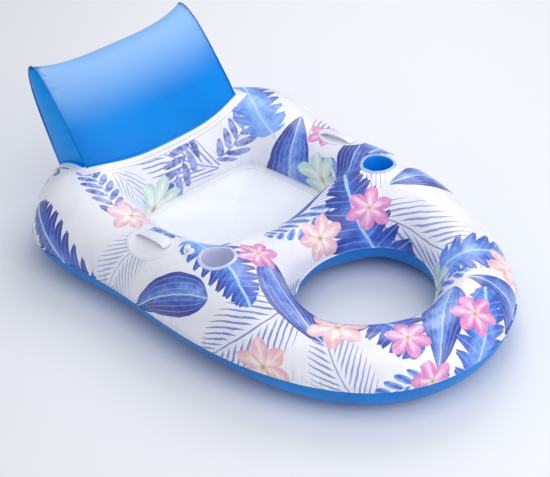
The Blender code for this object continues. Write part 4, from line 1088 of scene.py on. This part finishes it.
lips = []
for side, column in ((-1, 0), (1, -1)):
    aim = outward[:, column] * SIDE_WELD_OUT + np.array([SIDE_WELD_ASIDE * side, 0, 0])
    lips.append([cover_points[:, column] + aim * reach for reach in (SIDE_WELD_START, BACK_FLANGE)])
wide = np.concatenate([np.array(lips[0][::-1]).transpose(1, 0, 2), cover_points,
                       np.array(lips[1]).transpose(1, 0, 2)], axis=1)
foot_rows = []
for row, step in ((0, -1), (-1, 1)):
    plan, reach = wide[row, :, :2], np.array([0.0, step])
    foot_rows.append([on_ring(plan + reach * far, COVER_FOOT_LIFT) for far in (FLANGE_START, FOOT_FLANGE)])
wide = np.concatenate([np.array(foot_rows[0][::-1]), wide, np.array(foot_rows[1])])
flat = np.pad(flat, ((2, 2), (2, 2), (0, 0)), mode="edge")
cover = grid_sheet("backrest_cover_film", wide, flat)
mark_creases(cover, np.pad(folds, ((2, 2), (2, 2))))
bpy.ops.object.shade_smooth()
cover.select_set(False)
if max(cover.data.polygons, key=lambda p: p.center.z).normal.z < 0:
    cover.data.flip_normals()

back_film = surface(cover)
back_valve = valve_place("backrest", (1, 0, 0), back_film)
open_hole(cover, back_film, back_valve, VALVE_HOLE)

gussets = []
for word, side in (("right", -1), ("left", 1)):
    column = 0 if side < 0 else -1
    front, rear = cover_points[:BACK_ROWS + 1, column], cover_points[:BACK_ROWS - 1:-1, column]
    share = (1 - np.cos(np.pi * np.linspace(0, 1, GUSSET_COLUMNS + 1))) / 2
    fullness = np.sqrt(np.sin(np.pi * (np.arange(BACK_ROWS + 1) + 0.5) / (BACK_ROWS + 1.5)))
    rows = front[:, None] + (rear - front)[:, None] * share[:, None]
    rows[..., 0] += side * GUSSET_BULGE * fullness[:, None] * np.sin(np.pi * share)
    folds = np.zeros(rows.shape[:2])
    for edge, order in ((0, slice(0, BACK_ROWS + 1)), (-1, slice(None, BACK_ROWS - 1, -1))):
        away = np.linalg.norm(rows - rows[:, [edge]], axis=-1)
        along = np.broadcast_to(run[order, column], away.T.shape)
        dip = gathers[side].sink(along, away.T).T * tight[order, column][:, None]
        rows[..., 0] -= side * dip
        folds += dip / DEEP_FOLD
    plan = rows[0][:, :2]
    foot = [on_ring(plan + (side * far, 0), GUSSET_FOOT_LIFT) for far in (FOOT_FLANGE, FLANGE_START)]
    rows = np.concatenate([foot, rows])
    folds = np.concatenate([np.zeros((2, rows.shape[1])), folds])
    gusset = closed_loop("backrest_gusset_film_" + word, rows, rows[..., 1:], folds)
    if sum(p.normal.x * p.area for p in gusset.data.polygons) * side < 0:
        gusset.data.flip_normals()
    gussets.append(gusset)


# The cover's flat cut lies within this of the middle plane, and the gussets' beyond it
PAST_COVER = 0.3


def pillow_film():
    """Dyed blue vinyl with a soft shine. Its top is painted paler, a painted highlight of the light from
    above, and its gussets are painted brighter against their shade.
    The film is darker where two layers are welded, and painted shade darkens it along the folds.
    """
    f = Finish("backrest_blue")
    across = abs(f.node("ShaderNodeSeparateXYZ", {}, [f.node("ShaderNodeUVMap", {"uv_map": "flat_cut"})]))
    height = f.node("ShaderNodeSeparateXYZ", {}, [f.place]).also("Z")
    film_colour = f.colour(f.rise(f.noise(f.place, 7.0), 0.3, 0.7), srgb("0082E0"), srgb("008CE8"))
    on_cover = across < PAST_COVER
    # Painted highlight: the cover is painted paler towards its top, as the light from above would show it.
    film_colour = f.colour(f.rise(height, 0.31, 0.45) * on_cover * 0.8, film_colour, srgb("9AC6F4"))
    # Painted light: the gussets are painted a brighter blue, against the shade that falls on them.
    film_colour = f.colour((1.0 - on_cover) * 0.9, film_colour, srgb("00A0FF"))
    weld = f.rise(across, BACK_BASE_HALF_WIDTH - 0.0016, BACK_BASE_HALF_WIDTH - 0.0006) * on_cover
    film_colour = f.colour(weld * 0.6, film_colour, srgb("0B4C9C"))
    # Painted shade along the folds of the puckers.
    film_colour = f.creased(film_colour, 0.8, "0A4C9C")
    normal = f.bumps(f.noise(f.place, 18.0, 1.0), 0.0008, 0.25)
    return f.film(base_color=film_colour, roughness=0.42 + f.noise(f.place, 40.0) * 0.05, normal=normal,
                  specular_ior_level=0.15, coat_weight=0.03, coat_roughness=0.2)


back_blue = pillow_film()
for item, node in ((cover, "backrest_cover"), (gussets[0], "backrest_gusset_right"),
                   (gussets[1], "backrest_gusset_left")):
    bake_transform(item)
    dress(item, None, node, "backrest_blue", back_blue)
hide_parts("backrest_base_panel")

BAND_WIDTH = 0.030
BAND_LIFT = 0.0006
BAND_FRONT_SHARE = 0.16
BAND_FRONT_ROWS = 24
BAND_REAR_ROWS = 50
stretch = 1 + BAND_WIDTH / BACK_BASE_HALF_WIDTH * abs(back_share)
front_out = np.column_stack([front_edge[:, 0] * stretch, front_edge[:, 1] - BAND_WIDTH])
rear_out = np.column_stack([rear_edge[:, 0] * stretch, rear_edge[:, 1] + BAND_WIDTH / 2])
# The rows lie closer at the front, where the band shows and its weld lines run
share = np.concatenate([np.linspace(0, BAND_FRONT_SHARE, BAND_FRONT_ROWS),
                        np.linspace(BAND_FRONT_SHARE + 0.01, 1, BAND_REAR_ROWS)])[:, None, None]
plan = front_out + (rear_out - front_out) * share
heights = np.vectorize(height_on)(plan[..., 0], plan[..., 1]) + BAND_LIFT
outline = np.concatenate([plan[0], plan[:, -1], plan[-1, ::-1], plan[::-1, 0]])
edge_gap = np.array([np.linalg.norm(outline - point, axis=1).min() for point in plan.reshape(-1, 2)])
flat = np.stack([plan[..., 0], edge_gap.reshape(plan.shape[:2])], axis=-1)
base_patch = grid_sheet("backrest_base_band", np.concatenate([plan, heights[..., None]], axis=-1), flat)
face_up(base_patch)
bpy.ops.object.shade_smooth()
base_patch.select_set(False)
thicken(base_patch, FILM, -1)


WELD_LINE = 0.0095


def banded_film():
    """White film with the lines that the weld bar presses along its edge."""
    f = Finish("white_band")
    gap = f.node("ShaderNodeSeparateXYZ", {}, [f.node("ShaderNodeUVMap", {"uv_map": "flat_cut"})]).also("Y")
    pressed = 1.0 - f.rise(abs(gap - WELD_LINE), 0.0005, 0.0014)
    rim = 1.0 - f.rise(gap, 0.0006, 0.0018)
    white = f.colour(f.rise(f.noise(f.place, 12.0), 0.3, 0.7), srgb("F3F3F9"), srgb("F8F8FC"))
    white = f.colour(pressed * 0.75, white, srgb("B9B2C8"))
    white = f.colour(rim * 0.6, white, srgb("A9ABC4"))
    normal = f.bumps(f.larger(pressed, rim), 0.0006, -0.6)
    return f.film(base_color=white, roughness=0.3, normal=normal, coat_weight=0.3, coat_roughness=0.15)


dress(base_patch, "ring", "backrest_base_patch", "white_film", banded_film())


# Valves
# Each chamber fills through a moulded valve of soft white vinyl: a disc welded to the film, a short stem with
# a collar, a flap inside that lets air in only, and a plug on a strap. The stem pushes in when it is shut.
STEM_BORE = 0.0045
STEM_OUTSIDE = 0.0060
STEM_RISE = 0.014
COLLAR_RADIUS = 0.0080
PLUG_SEAT = STEM_RISE + 0.0003
VALVE_TURNS = 48
STRAP_REACH = 0.005
STRAP_WIDTH = 0.003
STRAP_THICKNESS = 0.0007
STRAP_LOW = STEM_RISE - 0.0010
STRAP_HIGH = PLUG_SEAT + 0.0006
STRAP_START = COLLAR_RADIUS + 0.0002
STRAP_BEND_STEPS = 12
STRAP_COLUMNS = 4
CAST_START = 0.02
valve_white = dyed_film("valve_white", "EEF0F4", "F6F7FA", 0.42, 0.1)
disc_profile = [(0.0064, 0.0010), (0.0076, 0.0014), (0.0092, 0.0011), (0.0116, 0.0011), (0.0124, 0.0014),
                (0.0132, 0.0011), (0.0139, 0.0008), (0.0140, 0.0003), (0.0064, 0.0003), (0.0064, 0.0010)]
stem_profile = [(STEM_BORE, -VALVE_DEPTH), (STEM_BORE, STEM_RISE - 0.0005), (STEM_BORE + 0.0005, STEM_RISE),
                (COLLAR_RADIUS - 0.0005, STEM_RISE), (COLLAR_RADIUS, STEM_RISE - 0.0005),
                (COLLAR_RADIUS, STEM_RISE - 0.0015), (COLLAR_RADIUS - 0.0005, STEM_RISE - 0.0020),
                (STEM_OUTSIDE + 0.0005, STEM_RISE - 0.0020), (STEM_OUTSIDE, STEM_RISE - 0.0025),
                (STEM_OUTSIDE, 0.0020), (STEM_OUTSIDE, -VALVE_DEPTH), (STEM_BORE, -VALVE_DEPTH)]
shank = STEM_BORE - 0.0003
plug_profile = [(POLE, PLUG_SEAT - 0.0060), (shank - 0.0008, PLUG_SEAT - 0.0060), (shank, PLUG_SEAT - 0.0052),
                (shank, PLUG_SEAT), (COLLAR_RADIUS - 0.0004, PLUG_SEAT), (COLLAR_RADIUS, PLUG_SEAT + 0.0004),
                (COLLAR_RADIUS, PLUG_SEAT + 0.0012), (COLLAR_RADIUS - 0.0008, PLUG_SEAT + 0.0020),
                (0.0045, PLUG_SEAT + 0.0021), (0.0038, PLUG_SEAT + 0.0016), (POLE, PLUG_SEAT + 0.0016)]
flap_top = -VALVE_DEPTH - 0.0003
flap_profile = [(POLE, flap_top), (STEM_OUTSIDE - 0.0003, flap_top), (STEM_OUTSIDE, flap_top - 0.0003),
                (STEM_OUTSIDE - 0.0003, flap_top - 0.0006), (POLE, flap_top - 0.0006)]
bend = (STRAP_HIGH - STRAP_LOW) / 2
turn = np.linspace(-np.pi / 2, np.pi / 2, STRAP_BEND_STEPS + 1)
straight = STRAP_START + np.array([0.0, 0.001, 0.002])
reach = np.concatenate([straight, STRAP_START + STRAP_REACH - bend + bend * np.cos(turn), straight[::-1]])
rise = np.concatenate([[STRAP_LOW] * 3, (STRAP_LOW + STRAP_HIGH) / 2 + bend * np.sin(turn), [STRAP_HIGH] * 3])
width = np.linspace(-0.5, 0.5, STRAP_COLUMNS + 1) * STRAP_WIDTH
strap_points = np.stack(np.broadcast_arrays(reach[:, None], width, rise[:, None]), axis=-1)
for word, body, stand, film_under in (("main", "ring", main_valve, ring_film),
                                      ("backrest", "backrest", back_valve, back_film)):
    out = stand.col[2].to_3d()
    disc = turned(word + "_valve_disc", disc_profile, VALVE_TURNS)
    for vert in disc.data.vertices:
        spot = stand @ Vector((vert.co.x, vert.co.y, CAST_START))
        vert.co.z += CAST_START - film_under.ray_cast(spot, -out)[3]
    stem = turned(word + "_valve_tube", stem_profile, VALVE_TURNS)
    plug = turned(word + "_valve_stopper", plug_profile, VALVE_TURNS)
    flap = turned(word + "_valve_leaf", flap_profile, VALVE_TURNS)
    strap = grid_sheet(word + "_valve_strap", strap_points, strap_points[..., :2])
    bpy.ops.object.shade_smooth()
    strap.select_set(False)
    thicken(strap, STRAP_THICKNESS, 0)
    for item in (disc, stem, plug, flap, strap):
        item.data.transform(stand)
        item.data.update()
    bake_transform(strap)
    for item, rides_on, node in ((disc, body, "flange"), (stem, word + "_valve_stem", "stem"),
                                 (plug, word + "_valve_plug", "plug"), (flap, word + "_valve_flap", "flap"),
                                 (strap, None, "tether")):
        dress(item, rides_on, word + "_valve_" + node, "valve_white", valve_white)


# Floor, light and camera
# A plain pale floor and three soft lamps stand in for the real surroundings. The camera stands where the
# photo's own one did, as it was fitted to the outlines of the chair.
bpy.ops.mesh.primitive_plane_add(size=40, location=(0, 0, 0))
floor = bpy.context.object
floor.name = "floor"
floor.select_set(False)
floor.data.materials.append(Finish("floor").film(base_color=srgb("F0F1F4"), roughness=0.9))

world = bpy.data.worlds.new("studio")
bpy.context.scene.world = world
world.use_nodes = True
sky = world.node_tree.nodes["Background"].inputs
sky["Color"].default_value = (0.9, 0.93, 1.0, 1)
sky["Strength"].default_value = 0.5

# Each lamp's place and the side of its square in metres, and its power in watts
LAMPS = {"lamp_sky": ((1.75, 1.05, 2.5), 1.8, 33),
         "lamp_key": ((-0.5, -1.2, 3.2), 2.8, 35),
         "lamp_fill": ((0.4, -3.2, 1.4), 2.6, 38)}
LAMPS_AIM = Vector((0, 0, 0.15))
for name, (place, size, power) in LAMPS.items():
    data = bpy.data.lights.new(name, "AREA")
    data.energy = power
    data.size = size
    lamp = bpy.data.objects.new(name, data)
    bpy.context.scene.collection.objects.link(lamp)
    lamp.location = place
    lamp.rotation_euler = (LAMPS_AIM - Vector(place)).to_track_quat("-Z", "Y").to_euler()

PHOTO_WIDTH = 550
FOCAL_PIXELS = 1239.12
PHOTO_SHIFT = (-3.3287, 6.0794)
SENSOR_WIDTH = 36
AZIMUTH = math.radians(-41.7175)
ELEVATION = math.radians(36.6294)
ROLL = -0.04807
CAMERA_AIM = Vector((-0.0219, -0.0226, SEAM_HEIGHT))
CAMERA_DISTANCE = 3.2787
back = Vector((math.sin(AZIMUTH) * math.cos(ELEVATION), -math.cos(AZIMUTH) * math.cos(ELEVATION),
               math.sin(ELEVATION)))
right = Vector((math.cos(AZIMUTH), math.sin(AZIMUTH), 0))
up = back.cross(right)
turned_right = right * math.cos(ROLL) + up * math.sin(ROLL)
turned_up = up * math.cos(ROLL) - right * math.sin(ROLL)
camera_data = bpy.data.cameras.new("camera")
camera_data.sensor_width = SENSOR_WIDTH
camera_data.lens = FOCAL_PIXELS * SENSOR_WIDTH / PHOTO_WIDTH
camera_data.shift_x, camera_data.shift_y = (shift / PHOTO_WIDTH for shift in PHOTO_SHIFT)
camera = bpy.data.objects.new("camera", camera_data)
bpy.context.scene.collection.objects.link(camera)
stand = Matrix.Translation(CAMERA_AIM + back * CAMERA_DISTANCE)
camera.matrix_world = stand @ Matrix((turned_right, turned_up, back)).transposed().to_4x4()
bpy.context.scene.camera = camera
bpy.context.scene.view_settings.view_transform = "Standard"
